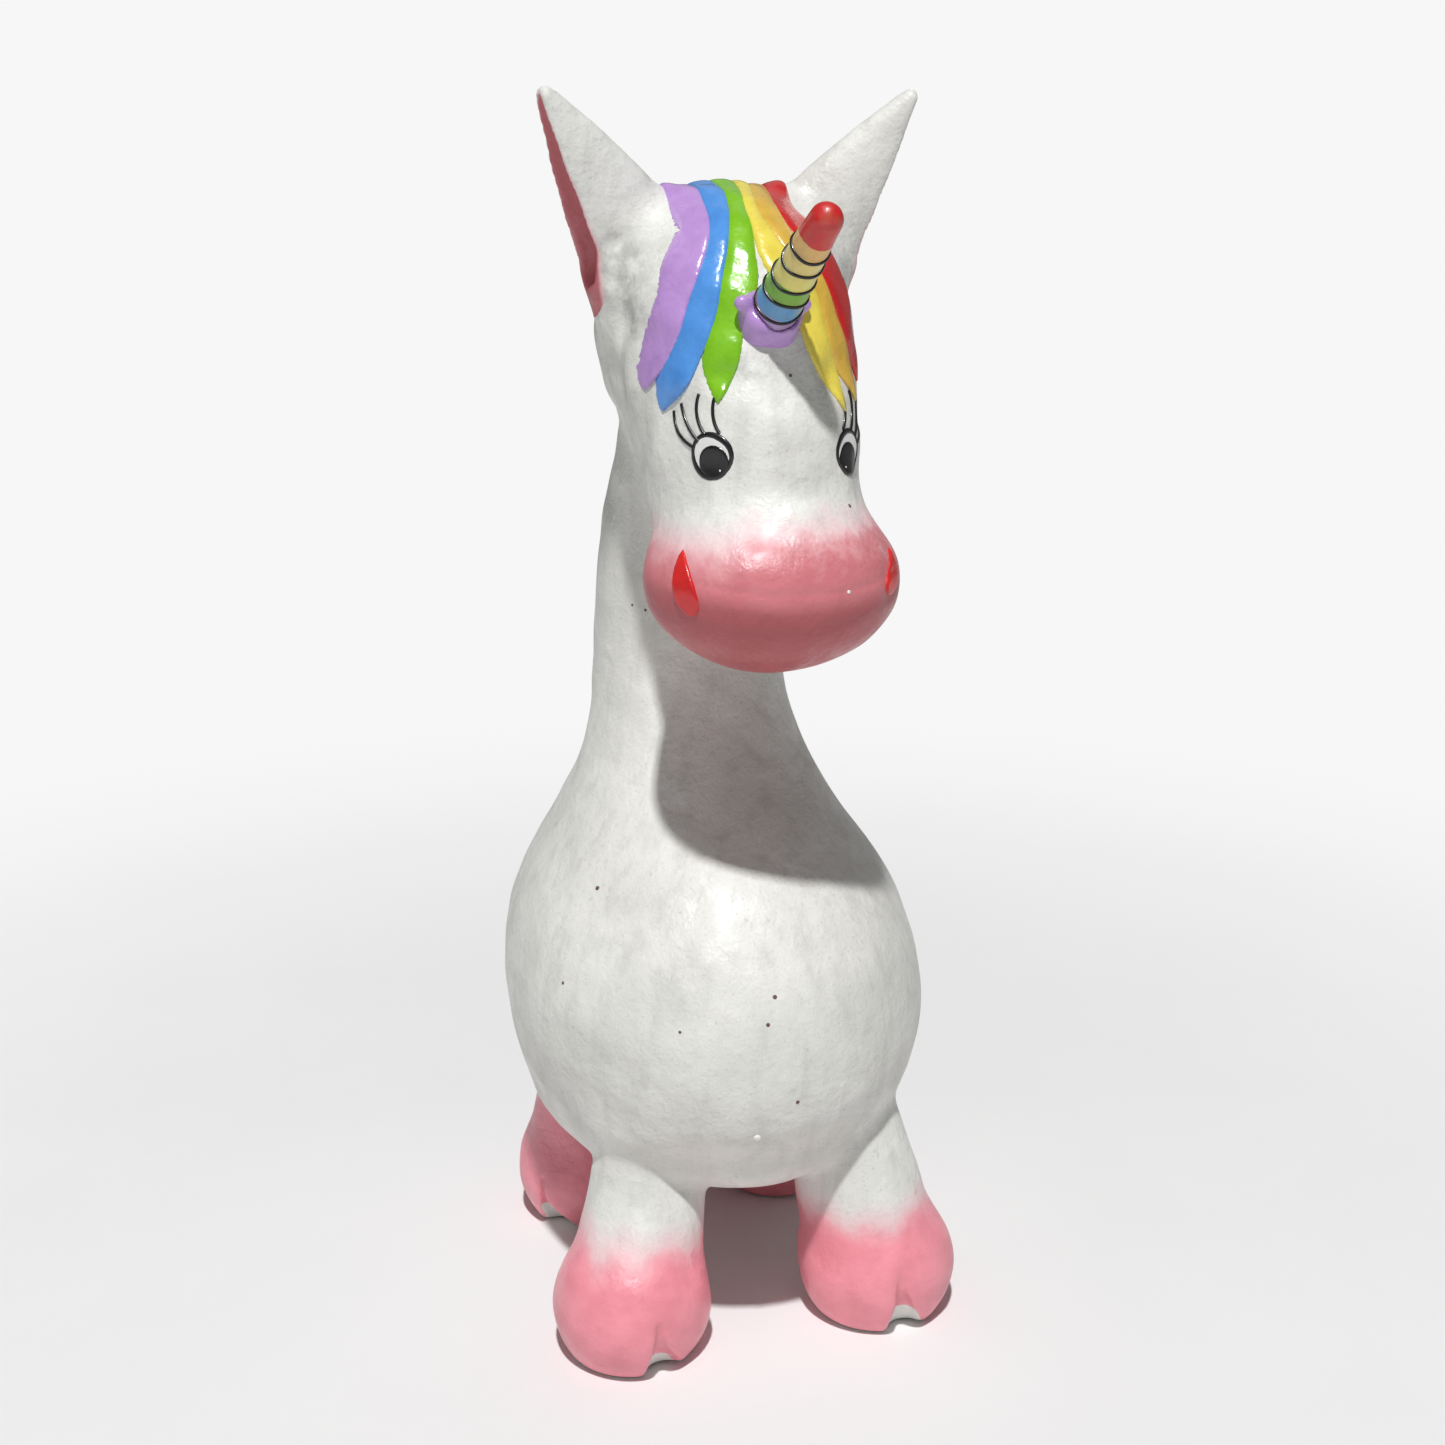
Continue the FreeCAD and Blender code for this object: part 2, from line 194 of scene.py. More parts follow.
class Curve:
    """A smooth curve through a few named stations, looked up along one coordinate."""

    SAMPLES = 600

    def __init__(self, places: Sequence[float], values: Sequence[float]) -> None:
        """Fit a natural cubic through the stations.

        Args:
            places: Rising coordinates of the stations.
            values: The curve's value at each of them.
        """
        places = np.asarray(places, float)
        values = np.asarray(values, float)
        count = len(places)
        gaps = np.diff(places)
        system = np.eye(count)
        right = np.zeros(count)
        for row in range(1, count - 1):
            system[row, row - 1] = gaps[row - 1]
            system[row, row] = 2 * (gaps[row - 1] + gaps[row])
            system[row, row + 1] = gaps[row]
            slopes = np.diff(values)[row - 1: row + 1] / gaps[row - 1: row + 1]
            right[row] = 6 * (slopes[1] - slopes[0])
        bends = np.linalg.solve(system, right)
        self.places = np.linspace(places[0], places[-1], self.SAMPLES)
        span = np.clip(np.searchsorted(places, self.places, side="right") - 1, 0, count - 2)
        gap = gaps[span]
        after = (self.places - places[span]) / gap
        before = 1 - after
        self.values = (
            before * values[span]
            + after * values[span + 1]
            + ((before**3 - before) * bends[span] + (after**3 - after) * bends[span + 1]) * gap**2 / 6
        )

    def __call__(self, place: Array) -> Array:
        """The curve's value, held at its ends."""
        return np.interp(place, self.places, self.values).astype(place.dtype)


# ---------------------------------------------------------------- meshes


@dataclass
class Surface:
    """A mesh in the making: points in millimetres, faces, and smooth normals pointing outwards."""

    points: Array
    faces: Array
    normals: Array


def gradient(form: Field, points: Array, step: float = 0.25) -> tuple[Array, Array]:
    """Measure a field and its slope at some points.

    Args:
        form: The field.
        points: Where to measure it, one row each.
        step: Half the distance over which the slope is taken.

    Returns:
        The field's values, and its slopes as rows.
    """
    x, y, z = points.T
    slopes = np.stack(
        [
            form(x + step, y, z) - form(x - step, y, z),
            form(x, y + step, z) - form(x, y - step, z),
            form(x, y, z + step) - form(x, y, z - step),
        ],
        axis=-1,
    ) / (2 * step)
    return form(x, y, z), slopes


def unit(vectors: Array) -> Array:
    """The same directions with length one."""
    return vectors / (np.linalg.norm(vectors, axis=-1, keepdims=True) + 1e-12)


BLOCK = 8


def skin(form: Field, low: Point, high: Point, pitch: float, settle: bool = True) -> Surface:
    """Mesh the zero surface of a field, working only in the blocks that it passes through.

    Args:
        form: The field, negative inside.
        low, high: Corners of the box that holds the form.
        pitch: Edge of a grid cell in millimetres.
        settle: Whether to move each point exactly onto the surface afterwards.

    Returns:
        A closed surface of quads.
    """
    low = np.floor(np.asarray(low) / pitch) * pitch + pitch / 2
    counts = np.ceil((np.asarray(high) - low) / pitch / BLOCK).astype(int)
    corners = np.stack(np.meshgrid(*[np.arange(count) for count in counts], indexing="ij"), -1).reshape(-1, 3)
    centres = (low + (corners * BLOCK + (BLOCK - 1) / 2) * pitch).astype(np.float32)
    reach = BLOCK * pitch * 1.3
    rough = form(*centres.T)
    grid = np.where(rough > 0, reach, -reach).astype(np.float32).reshape(counts)
    grid = grid.repeat(BLOCK, 0).repeat(BLOCK, 1).repeat(BLOCK, 2)
    inner = np.stack(np.meshgrid(*[np.arange(BLOCK)] * 3, indexing="ij"), -1).reshape(-1, 3)
    near = corners[np.abs(rough) < reach]
    for part in np.array_split(near, max(1, len(near) // 600)):
        cells = (part[:, None, :] * BLOCK + inner[None, :, :]).reshape(-1, 3)
        places = (low + cells * pitch).astype(np.float32)
        grid[tuple(cells.T)] = form(*places.T)
    volume = openvdb.FloatGrid(background=float(reach))
    volume.copyFromArray(grid)
    points, faces = volume.convertToQuads(isovalue=0.0)
    points = low + points.astype(np.float64) * pitch
    values, slopes = gradient(form, points)
    if settle:
        steepness = np.maximum((slopes**2).sum(-1), 0.3)
        shift = -(values / steepness)[:, None] * slopes
        points = points + np.clip(shift, -pitch / 2, pitch / 2)
    return Surface(points, faces.astype(int), unit(slopes))


def to_metres(points: Array) -> Array:
    """Move points from the sculptor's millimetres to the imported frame's metres."""
    return (points + np.array((0.0, PLAN_SHIFT, 0.0))) * MM


def make_piece(
    name: str,
    surface: Surface,
    material: bpy.types.Material,
    body: str = FIGURE,
    replaces: Sequence[str] = (),
    smooth_faces: Optional[int] = None,
) -> bpy.types.Object:
    """Turn a surface into a finished piece of the model.

    Args:
        name: The piece's name.
        surface: Its geometry in millimetres.
        material: Its finish.
        body: The body that it moves with.
        replaces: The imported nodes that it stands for.
        smooth_faces: How many of the first faces take the surface's normals; the rest are left flat.

    Returns:
        The new object.
    """
    mesh = bpy.data.meshes.new(name)
    faces = surface.faces.tolist() if isinstance(surface.faces, np.ndarray) else surface.faces
    mesh.from_pydata(to_metres(surface.points).tolist(), [], faces)
    mesh.materials.append(material)
    if smooth_faces is None:
        mesh.shade_smooth()
    else:
        mesh.polygons.foreach_set("use_smooth", np.arange(len(mesh.polygons)) < smooth_faces)
        loops = np.zeros(len(mesh.loops), int)
        mesh.loops.foreach_get("vertex_index", loops)
        normals = surface.normals[loops]
        flat = np.ones(len(loops), bool)
        flat[: int(sum(len(face) for face in faces[:smooth_faces]))] = False
        normals[flat] = 0
        mesh.normals_split_custom_set(normals.tolist())
    mesh.update()
    piece = bpy.data.objects.new(name, mesh)
    bpy.context.scene.collection.objects.link(piece)
    dress(piece, body, replaces)
    return piece


def dress(piece: bpy.types.Object, body: str, replaces: Sequence[str] = ()) -> None:
    """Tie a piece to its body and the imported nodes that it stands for.

    Args:
        piece: The finished object.
        body: The body that it moves with.
        replaces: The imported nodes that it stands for.
    """
    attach(piece, body)
    if replaces:
        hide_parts(*replaces)
    log.info("%s: %d faces", piece.name, len(piece.data.polygons))


# ---------------------------------------------------------------- sub-assemblies: the moulded skin


@dataclass(frozen=True)
class Dent:
    """A thumb mark, or with a negative depth a lump, left in the wet pulp."""

    centre: Point
    radii: Point
    depth: float

    def __call__(self, x: Array, y: Array, z: Array) -> Array:
        """How far the surface is pressed in at each point."""
        parts = ((value - middle) / radius for value, middle, radius in zip((x, y, z), self.centre, self.radii))
        return self.depth * np.exp(-sum(part * part for part in parts))


@dataclass
class Barrel:
    """The body from belly to neck: upright oval sections over a shallow bowl."""

    heights: Sequence[float] = (45, 58, 74, 90, 105, 120, 134, 147, 162, 182, 205, 225, 240)
    fronts: Sequence[float] = (-45, -55, -60, -58, -49.5, -35, -20, -8, 0, 2.4, -1, -8, -12)
    rears: Sequence[float] = (56, 65, 70.5, 72, 69, 61, 54, 51, 51, 50, 44, 35.5, 32)
    half_widths: Sequence[float] = (43, 49.3, 52.6, 52.4, 47.7, 38.5, 30.5, 26.2, 24.3, 23.3, 20.8, 19.6, 20.5)
    belly_centre: Point = (0, 5.5, 58)
    belly_radii: Point = (49.3, 60, 27)
    belly_flat: float = 32.0
    hole_radius: float = 11.0

    def __post_init__(self) -> None:
        """Prepare the smooth outlines."""
        self.front = Curve(self.heights, self.fronts)
        self.rear = Curve(self.heights, self.rears)
        self.half_width = Curve(self.heights, self.half_widths)

    def middle(self, z: Array) -> Array:
        """The y of the body's middle line at each height."""
        return (self.front(z) + self.rear(z)) / 2

    def field(self, x: Array, y: Array, z: Array) -> Array:
        """Distances to the closed body."""
        low, high = self.heights[0], self.heights[-1]
        level = np.clip(z, low, high)
        front, rear, half_width = self.front(level), self.rear(level), self.half_width(level)
        half_length = (rear - front) / 2
        along = y - (front + rear) / 2
        near = np.sqrt((x / half_width) ** 2 + (along / half_length) ** 2)
        slope = np.sqrt((x / half_width**2) ** 2 + (along / half_length**2) ** 2) + 1e-6
        upper = near * (near - 1) / slope
        above = z - high
        capped = np.sqrt(np.maximum(upper, 0) ** 2 + np.maximum(above, 0) ** 2) + np.minimum(np.maximum(upper, above), 0)
        upper = np.where(above > 0, capped, upper)
        lower = ellipsoid(x, y, z, self.belly_centre, self.belly_radii)
        share = smooth_step(z, low, self.belly_centre[2])
        whole = lower * (1 - share) + upper * share
        return -melt(-whole, z - self.belly_flat, 3.0)


@dataclass
class Skull:
    """The head: a ball for the skull, a longer one for the face and an egg across it for the muzzle."""

    skull_centre: Point = (0, -5, 247)
    skull_radii: Point = (29, 40, 33)
    face_centre: Point = (0, -25, 222)
    face_radii: Point = (25.5, 30, 30)
    muzzle_centre: Point = (0, -42, 194)
    muzzle_radii: Point = (29.3, 26, 20.5)

    def face(self, x: Array, y: Array, z: Array) -> Array:
        """Distances to the skull and face together."""
        skull = ellipsoid(x, y, z, self.skull_centre, self.skull_radii)
        return melt(skull, ellipsoid(x, y, z, self.face_centre, self.face_radii), 10)

    def muzzle(self, x: Array, y: Array, z: Array) -> Array:
        """Distances to the muzzle."""
        return ellipsoid(x, y, z, self.muzzle_centre, self.muzzle_radii)

    def field(self, x: Array, y: Array, z: Array) -> Array:
        """Distances to the whole head."""
        return melt(self.face(x, y, z), self.muzzle(x, y, z), 12)


@dataclass
class Ear:
    """A leaf-shaped ear with a scooped hollow that faces outwards."""

    side: Side
    root: Point = (15.5, -3, 256)
    tip: Point = (43.3, -13, 298.8)
    shares: Sequence[float] = (-0.3, -0.1, 0.06, 0.25, 0.5, 0.75, 1.0)
    half_widths: Sequence[float] = (7.0, 12.0, 14.0, 14.0, 11.2, 7.4, 2.7)
    root_depth: float = 10.5
    tip_depth: float = 2.4
    hollow_out: float = 0.90
    hollow_forward: float = 0.12
    hollow_scale: float = 0.58
    hollow_middle: float = 0.62
    hollow_reach: float = 0.52

    def __post_init__(self) -> None:
        """Work out the ear's own directions: along it, front to back and across."""
        sign = self.side.value
        start = np.array((self.root[0] * sign, *self.root[1:]))
        along = np.array((self.tip[0] * sign, *self.tip[1:])) - start
        self.start = start
        self.length = float(np.linalg.norm(along))
        self.along = along / self.length
        depth = np.array((0.0, 1.0, 0.0)) - self.along * self.along[1]
        self.depth = depth / np.linalg.norm(depth)
        self.across = np.cross(self.depth, self.along) * sign

    def local(self, x: Array, y: Array, z: Array) -> tuple[Array, Array, Array]:
        """Share of the length, distance outwards and distance backwards."""
        dx, dy, dz = x - self.start[0], y - self.start[1], z - self.start[2]
        share, out, back = (
            dx * axis[0] + dy * axis[1] + dz * axis[2] for axis in (self.along, self.across, self.depth)
        )
        return share / self.length, out, back

    def sizes(self, share: Array) -> tuple[Array, Array]:
        """The ear's half width and half depth at a share of its length."""
        held = np.clip(share, self.shares[0], 1)
        half_width = np.interp(held, self.shares, self.half_widths)
        half_depth = np.interp(held, (self.shares[0], 0, 1), (7.0, self.root_depth, self.tip_depth))
        return half_width, half_depth

    def nearness(self, x: Array, y: Array, z: Array) -> Array:
        """How near the scoop's middle each point is: 1 all round the scoop's edge, and less inside it."""
        share, out, back = self.local(x, y, z)
        half_width, half_depth = self.sizes(share)
        across = (out - half_width * self.hollow_out) / (half_width * self.hollow_scale)
        deep = (back + half_depth * self.hollow_forward) / (half_depth * self.hollow_scale)
        along = (share - self.hollow_middle) / self.hollow_reach
        return (np.sqrt(across**2 + deep**2) ** 3 + np.abs(along) ** 3) ** (1 / 3)

    def hollow(self, x: Array, y: Array, z: Array) -> Array:
        """Distances to the scoop that hollows the ear."""
        half_width, half_depth = self.sizes(self.local(x, y, z)[0])
        return (self.nearness(x, y, z) - 1) * self.hollow_scale * np.minimum(half_width, half_depth)

    def field(self, x: Array, y: Array, z: Array) -> Array:
        """Distances to the ear."""
        share, out, back = self.local(x, y, z)
        half_width, half_depth = self.sizes(share)
        near = np.sqrt((out / half_width) ** 2 + (back / half_depth) ** 2)
        slope = np.sqrt((out / half_width**2) ** 2 + (back / half_depth**2) ** 2) + 1e-6
        leaf = near * (near - 1) / slope
        over = np.maximum(share - 1, 0) * self.length
        leaf = np.where(over > 0, np.sqrt(out**2 + back**2 + over**2) - self.tip_depth, leaf)
        leaf = np.maximum(leaf, (self.shares[0] - share) * self.length)
        return carve(leaf, self.hollow(x, y, z), 1.6)


@dataclass
class Leg:
    """A stubby leg on a broad foot, whose front is parted into two toes."""

    node: str
    foot: tuple[float, float]
    top: tuple[float, float]
    top_radius: float
    splay: float
    half_width: float
    cleft: float
    half_length: float = 19.0
    ankle_radius: float = 17.3
    ankle_height: float = 16.0
    top_height: float = 54.0
    foot_height: float = 11.5
    foot_rise: float = 18.0
    notch_lean: float = 2.6
    notch_radius: float = 5.8
    notch_height: float = 10.5
    groove_top: float = 15.5

    def turned(self, x: Array, y: Array, degrees: float) -> tuple[Array, Array]:
        """Coordinates about the foot's centre, in axes turned by an angle."""
        angle = math.radians(degrees)
        dx, dy = x - self.foot[0], y - self.foot[1]
        return dx * math.cos(angle) + dy * math.sin(angle), dy * math.cos(angle) - dx * math.sin(angle)

    def cleft_field(self, x: Array, y: Array, z: Array) -> Array:
        """Distances to the notch between the toes and the groove that runs up from it."""
        across, out = self.turned(x, y, self.splay + self.cleft)
        front = self.half_length - 0.4
        peak = (0.2, front, self.notch_height)
        foot = (self.notch_lean, front - 3.1, -1.5)
        notch = tapered_rod(across, -out, z, foot, peak, self.notch_radius, 0.9)
        groove = tapered_rod(across, -out, z, peak, (0, front + 0.3, self.groove_top), 0.9, 0.4)
        return melt(notch, groove, 1.0)

    def field(self, x: Array, y: Array, z: Array) -> Array:
        """Distances to the leg, cut off level at the sole."""
        shank = tapered_rod(
            x, y, z, (*self.top, self.top_height), (self.foot[0], self.foot[1] + 1.5, self.ankle_height),
            self.top_radius, self.ankle_radius,
        )
        across, along = self.turned(x, y, self.splay)
        radii = (self.half_width, self.half_length, self.foot_rise)
        foot = ellipsoid(across, along, z - self.foot_height, (0, 0, 0), radii)
        whole = carve(melt(shank, foot, 6), self.cleft_field(x, y, z), 1.8)
        return -melt(-whole, z, 2.0)


LEGS = (
    Leg("front_right_leg", (-33.6, -37.5), (-26.5, -27), 14.5, -6, 18.6, 10, top_height=38.0),
    Leg("front_left_leg", (31.3, -37.5), (23, -29), 14.5, 14, 19.6, -16, notch_height=12.5, groove_top=19.0),
    Leg("rear_right_leg", (-27, 34.5), (-24, 30), 14.5, -35, 18.0, -20),
    Leg("rear_left_leg", (28, 34.5), (24, 30), 14.5, 35, 18.0, 20),
)


@dataclass
class Figure:
    """Every moulded form together, as one skin that is then parted into the pieces it was made from."""

    barrel: Barrel = field(default_factory=Barrel)
    skull: Skull = field(default_factory=Skull)
    ears: tuple[Ear, ...] = (Ear(Side.LEFT), Ear(Side.RIGHT))
    legs: tuple[Leg, ...] = LEGS
    wall: float = 3.5
    mouth_height: float = 195.5
    mouth_depth: float = 0.24
    dents: tuple[Dent, ...] = (
        Dent((-13, -46, 240), (4, 5, 3.2), 1.3),
        Dent((13, -46, 240), (4, 5, 3.2), 1.1),
        Dent((-22, -36, 231), (3.4, 5, 5), 1.3),
        Dent((22, -36, 231), (3.4, 5, 5), 1.3),
        Dent((-27, -17, 250), (2.6, 3, 7), 1.3),
        Dent((27, -17, 250), (2.6, 3, 7), 1.2),
        Dent((-28, -22, 236), (4, 4, 6), -1.4),
        Dent((28, -22, 236), (4, 4, 6), -1.4),
        Dent((-25, -20, 219), (4, 5, 5), 1.4),
        Dent((25, -20, 219), (4, 5, 5), 1.4),
        Dent((-29, -11, 262), (2.5, 3, 2.5), -0.9),
        Dent((-27, -12, 268), (2.2, 3, 2.2), 0.8),
        Dent((0, -56, 216), (12, 6, 4), 0.8),
        Dent((-2, -46, 243), (6, 5, 4), 0.7),
        Dent((-38, -34, 54), (15, 15, 10), -2.8),
    )

    def body(self, x: Array, y: Array, z: Array) -> Array:
        """Distances to the barrel, neck and head."""
        return melt(self.barrel.field(x, y, z), self.skull.field(x, y, z), 7)

    def field(self, x: Array, y: Array, z: Array) -> Array:
        """Distances to the whole figure, with its dents and its hand-made unevenness."""
        form = self.body(x, y, z)
        for ear in self.ears:
            form = melt(form, ear.field(x, y, z), 8)
        for leg in self.legs:
            form = melt(form, leg.field(x, y, z), 2.5)
        for dent in self.dents:
            form = form + dent(x, y, z)
        lip = z - self.mouth_height - 0.004 * x * x
        ahead = smooth_step(-y, 30, 48)
        form = form + self.mouth_depth * ahead * np.exp(-((lip / 1.0) ** 2)) * smooth_step(-np.abs(x), -26, -20)
        lively = smooth_step(z, 195, 240)
        calm = 1 - 0.85 * smooth_step(z, 256, 264) * smooth_step(np.abs(x), 12, 18)
        uneven = 0.30 * ripple(x, y, z, 34, SEED) + (0.10 + 0.16 * lively) * ripple(x, y, z, 11, SEED + 1)
        form = form + calm * uneven
        return -melt(-form, z, 1.2)

    def parts(self) -> dict[str, Field]:
        """The forms that share the skin between them, by name."""
        forms: dict[str, Field] = {
            "body": self.barrel.field,
            "head": self.skull.face,
            "muzzle": self.skull.muzzle,
        }
        forms.update({f"ear_{ear.side.word}": ear.field for ear in self.ears})
        forms.update({leg.node: leg.field for leg in self.legs})
        return forms


@dataclass
class Skin:
    """The figure's outer surface and its division into pieces."""

    figure: Figure
    low: Point = (-58, -76, -2)
    high: Point = (58, 78, 304)

    def __post_init__(self) -> None:
        """Mesh the skin and say which piece each face belongs to."""
        self.surface = skin(self.figure.field, self.low, self.high, SKIN_PITCH)
        forms = self.figure.parts()
        self.names = list(forms)
        self.share_out(forms)

    def share_out(self, forms: dict[str, Field]) -> None:
        """Give every face to the nearest form, and pull the borders straight.

        Args:
            forms: The forms, by name.
        """
        points, faces = self.surface.points, self.surface.faces
        middles = points[faces].mean(axis=1)
        scores = np.stack([form(*middles.T) for form in forms.values()])
        label = scores.argmin(axis=0)
        halved = np.isin(label, [self.names.index(name) for name in ("body", "head")])
        self.label = label
        self.left = middles[:, 0] > 0
        tally: dict[int, set[int]] = {}
        for face, kind in zip(faces, label):
            for corner in face:
                tally.setdefault(int(corner), set()).add(int(kind))
        borders: dict[tuple[int, int], list[int]] = {}
        for corner, kinds in tally.items():
            if len(kinds) == 2:
                borders.setdefault(tuple(sorted(kinds)), []).append(corner)
        fields = list(forms.values())
        for (first, second), corners in borders.items():
            spots = points[corners]

            def gap(x: Array, y: Array, z: Array) -> Array:
                """How much nearer the second form is than the first."""
                return fields[first](x, y, z) - fields[second](x, y, z)

            values, slopes = gradient(gap, spots)
            normals = self.surface.normals[corners]
            slopes = slopes - normals * (slopes * normals).sum(-1, keepdims=True)
            steepness = np.maximum((slopes**2).sum(-1), 0.05)
            shift = -(values / steepness)[:, None] * slopes
            points[corners] = spots + np.clip(shift, -SKIN_PITCH / 2, SKIN_PITCH / 2)
        seam = np.unique(faces[halved][np.abs(middles[halved, 0]) < SKIN_PITCH * 0.75])
        near = seam[np.abs(points[seam, 0]) < SKIN_PITCH * 0.3]
        points[near, 0] = 0.0

    def patch(self, name: str, side: Optional[Side] = None) -> Surface:
        """The open patch of skin that belongs to one piece.

        Args:
            name: The form's name.
            side: Which half of it, for the body and head.

        Returns:
            The patch, with its points renumbered.
        """
        chosen = self.label == self.names.index(name)
        if side is not None:
            chosen &= self.left == (side is Side.LEFT)
        faces = self.surface.faces[chosen]
        used, numbers = np.unique(faces, return_inverse=True)
        return Surface(self.surface.points[used], numbers.reshape(faces.shape), self.surface.normals[used])


def rim_edges(faces: Array) -> Array:
    """The open edges of a patch, each in the direction of the face that it belongs to."""
    edges = np.concatenate([faces[:, [corner, (corner + 1) % 4]] for corner in range(4)])
    key = edges.astype(np.int64)
    forward = key[:, 0] * (faces.max() + 1) + key[:, 1]
    backward = key[:, 1] * (faces.max() + 1) + key[:, 0]
    return edges[~np.isin(forward, backward)]


def thicken(patch: Surface, wall: float) -> tuple[Surface, int]:
    """Give a patch of skin its wall, closed round its rim.

    Args:
        patch: The open outer surface.
        wall: The wall in millimetres.

    Returns:
        The closed shell, and how many of its faces are outer skin.
    """
    count = len(patch.points)
    inner = patch.points - patch.normals * wall
    rim = rim_edges(patch.faces)
    walls = np.stack([rim[:, 1], rim[:, 0], rim[:, 0] + count, rim[:, 1] + count], axis=-1)
    faces = np.concatenate([patch.faces, patch.faces[:, ::-1] + count, walls])
    points = np.concatenate([patch.points, inner])
    normals = np.concatenate([patch.normals, -patch.normals])
    return Surface(points, faces, normals), len(patch.faces)


def plug_rims(patch: Surface) -> tuple[Surface, int]:
    """Close each opening of a patch with a fan of triangles, for a piece that is solid.

    Args:
        patch: The open outer surface.

    Returns:
        The closed solid, and how many of its faces are outer skin.
    """
    onward = {int(start): int(end) for start, end in rim_edges(patch.faces)}
    points = list(patch.points)
    normals = list(patch.normals)
    faces: list[list[int]] = patch.faces.tolist()
    count = len(faces)
    while onward:
        first, after = onward.popitem()
        loop = [first, after]
        while after in onward:
            after = onward.pop(after)
            loop.append(after)
        if loop[0] == loop[-1]:
            loop.pop()
        middle = patch.points[loop].mean(axis=0)
        centre = len(points)
        points.append(middle)
        normals.append(np.array((0.0, 0.0, 1.0)))
        for here, there in zip(loop, loop[1:] + loop[:1]):
            faces.append([there, here, centre])
    return Surface(np.array(points), faces, np.array(normals)), count


# ---------------------------------------------------------------- finishes


class Recipe:
    """A short hand for building a material's nodes."""

    def __init__(self, name: str) -> None:
        """Start an empty material with its shader.

        Args:
            name: The material's name.
        """
        self.material = bpy.data.materials.new(name)
        self.material.use_nodes = True
        self.tree = self.material.node_tree
        self.shader = self.tree.nodes["Principled BSDF"]
        self.place = self.node("ShaderNodeTexCoord").outputs["Object"]

    def node(self, kind: str, **settings: object) -> bpy.types.Node:
        """Add a node and set its plain properties."""
        made = self.tree.nodes.new(kind)
        for name, value in settings.items():
            setattr(made, name, value)
        return made

    def link(self, value: object, socket: bpy.types.NodeSocket) -> None:
        """Feed a socket from another socket, or set it to a plain value."""
        if isinstance(value, bpy.types.NodeSocket):
            self.tree.links.new(value, socket)
        else:
            socket.default_value = value

    def set(self, **values: object) -> None:
        """Set the shader's inputs, with spaces in their names written as underscores."""
        for name, value in values.items():
            self.link(value, self.shader.inputs[name.replace("_", " ")])

    def stretched(self, scale: Point) -> bpy.types.NodeSocket:
        """The place on the piece, with a pattern drawn out along one direction."""
        mapping = self.node("ShaderNodeMapping")
        self.link(self.place, mapping.inputs["Vector"])
        mapping.inputs["Scale"].default_value = scale
        return mapping.outputs["Vector"]

    def noise(self, size: float, detail: float = 2.0, vector: object = None, seed: float = 0.0) -> bpy.types.NodeSocket:
        """Cloudy noise from 0 to 1.

        Args:
            size: Typical size of a cloud in millimetres.
            detail: How many finer layers it has.
            vector: The coordinates it reads, the place on the piece unless given.
            seed: Which of the patterns.

        Returns:
            The noise's value.
        """
        made = self.node("ShaderNodeTexNoise", noise_dimensions="4D")
        self.link(self.place if vector is None else vector, made.inputs["Vector"])
        made.inputs["W"].default_value = seed
        made.inputs["Scale"].default_value = 1 / (size * MM)
        made.inputs["Detail"].default_value = detail
        return made.outputs["Fac"]

    def specks(self, spacing: float, size: float, seed: float) -> bpy.types.NodeSocket:
        """Scattered dots: 1 inside each dot and 0 outside.

        Args:
            spacing: Typical distance between cells in millimetres.
            size: A dot's radius as a share of a cell.
            seed: Which of the patterns.

        Returns:
            The dots' mask.
        """
        made = self.node("ShaderNodeTexVoronoi", voronoi_dimensions="4D")
        self.link(self.place, made.inputs["Vector"])
        made.inputs["W"].default_value = seed
        made.inputs["Scale"].default_value = 1 / (spacing * MM)
        return self.ramp(made.outputs["Distance"], size, size * 0.6)

    def math(self, operation: str, first: object, second: object = 0.0) -> bpy.types.NodeSocket:
        """One step of arithmetic."""
        made = self.node("ShaderNodeMath", operation=operation)
        self.link(first, made.inputs[0])
        self.link(second, made.inputs[1])
        return made.outputs[0]

    def ramp(self, value: object, low: float, high: float, to_low: float = 0.0, to_high: float = 1.0) -> bpy.types.NodeSocket:
        """A smooth climb from one value to another.

        Args:
            value: What is climbed along.
            low, high: Where the climb starts and ends.
            to_low, to_high: The results there.

        Returns:
            The result.
        """
        made = self.node("ShaderNodeMapRange", interpolation_type="SMOOTHSTEP")
        self.link(value, made.inputs["Value"])
        for name, number in (("From Min", low), ("From Max", high), ("To Min", to_low), ("To Max", to_high)):
            made.inputs[name].default_value = number
        return made.outputs["Result"]

    def mix(self, share: object, first: object, second: object) -> bpy.types.NodeSocket:
        """Blend two colours."""
        made = self.node("ShaderNodeMix", data_type="RGBA")
        self.link(share, made.inputs["Factor"])
        self.link(first, made.inputs[6])
        self.link(second, made.inputs[7])
        return made.outputs[2]

    def attribute(self, name: str) -> bpy.types.NodeSocket:
        """A number that the piece carries at every point."""
        return self.node("ShaderNodeAttribute", attribute_name=name).outputs["Fac"]

    def relief(self, height: object, depth: float, strength: float = 1.0, under: object = None) -> bpy.types.NodeSocket:
        """Raise and sink the surface in the light only.

        Args:
            height: The pattern's height, from 0 to 1.
            depth: What a height of 1 stands for in millimetres.
            strength: How strongly it shows.
            under: An earlier relief that this one lies on.

        Returns:
            The new normal.
        """
        made = self.node("ShaderNodeBump")
        made.inputs["Strength"].default_value = strength
        made.inputs["Distance"].default_value = depth * MM
        self.link(height, made.inputs["Height"])
        if under is not None:
            self.link(under, made.inputs["Normal"])
        return made.outputs["Normal"]


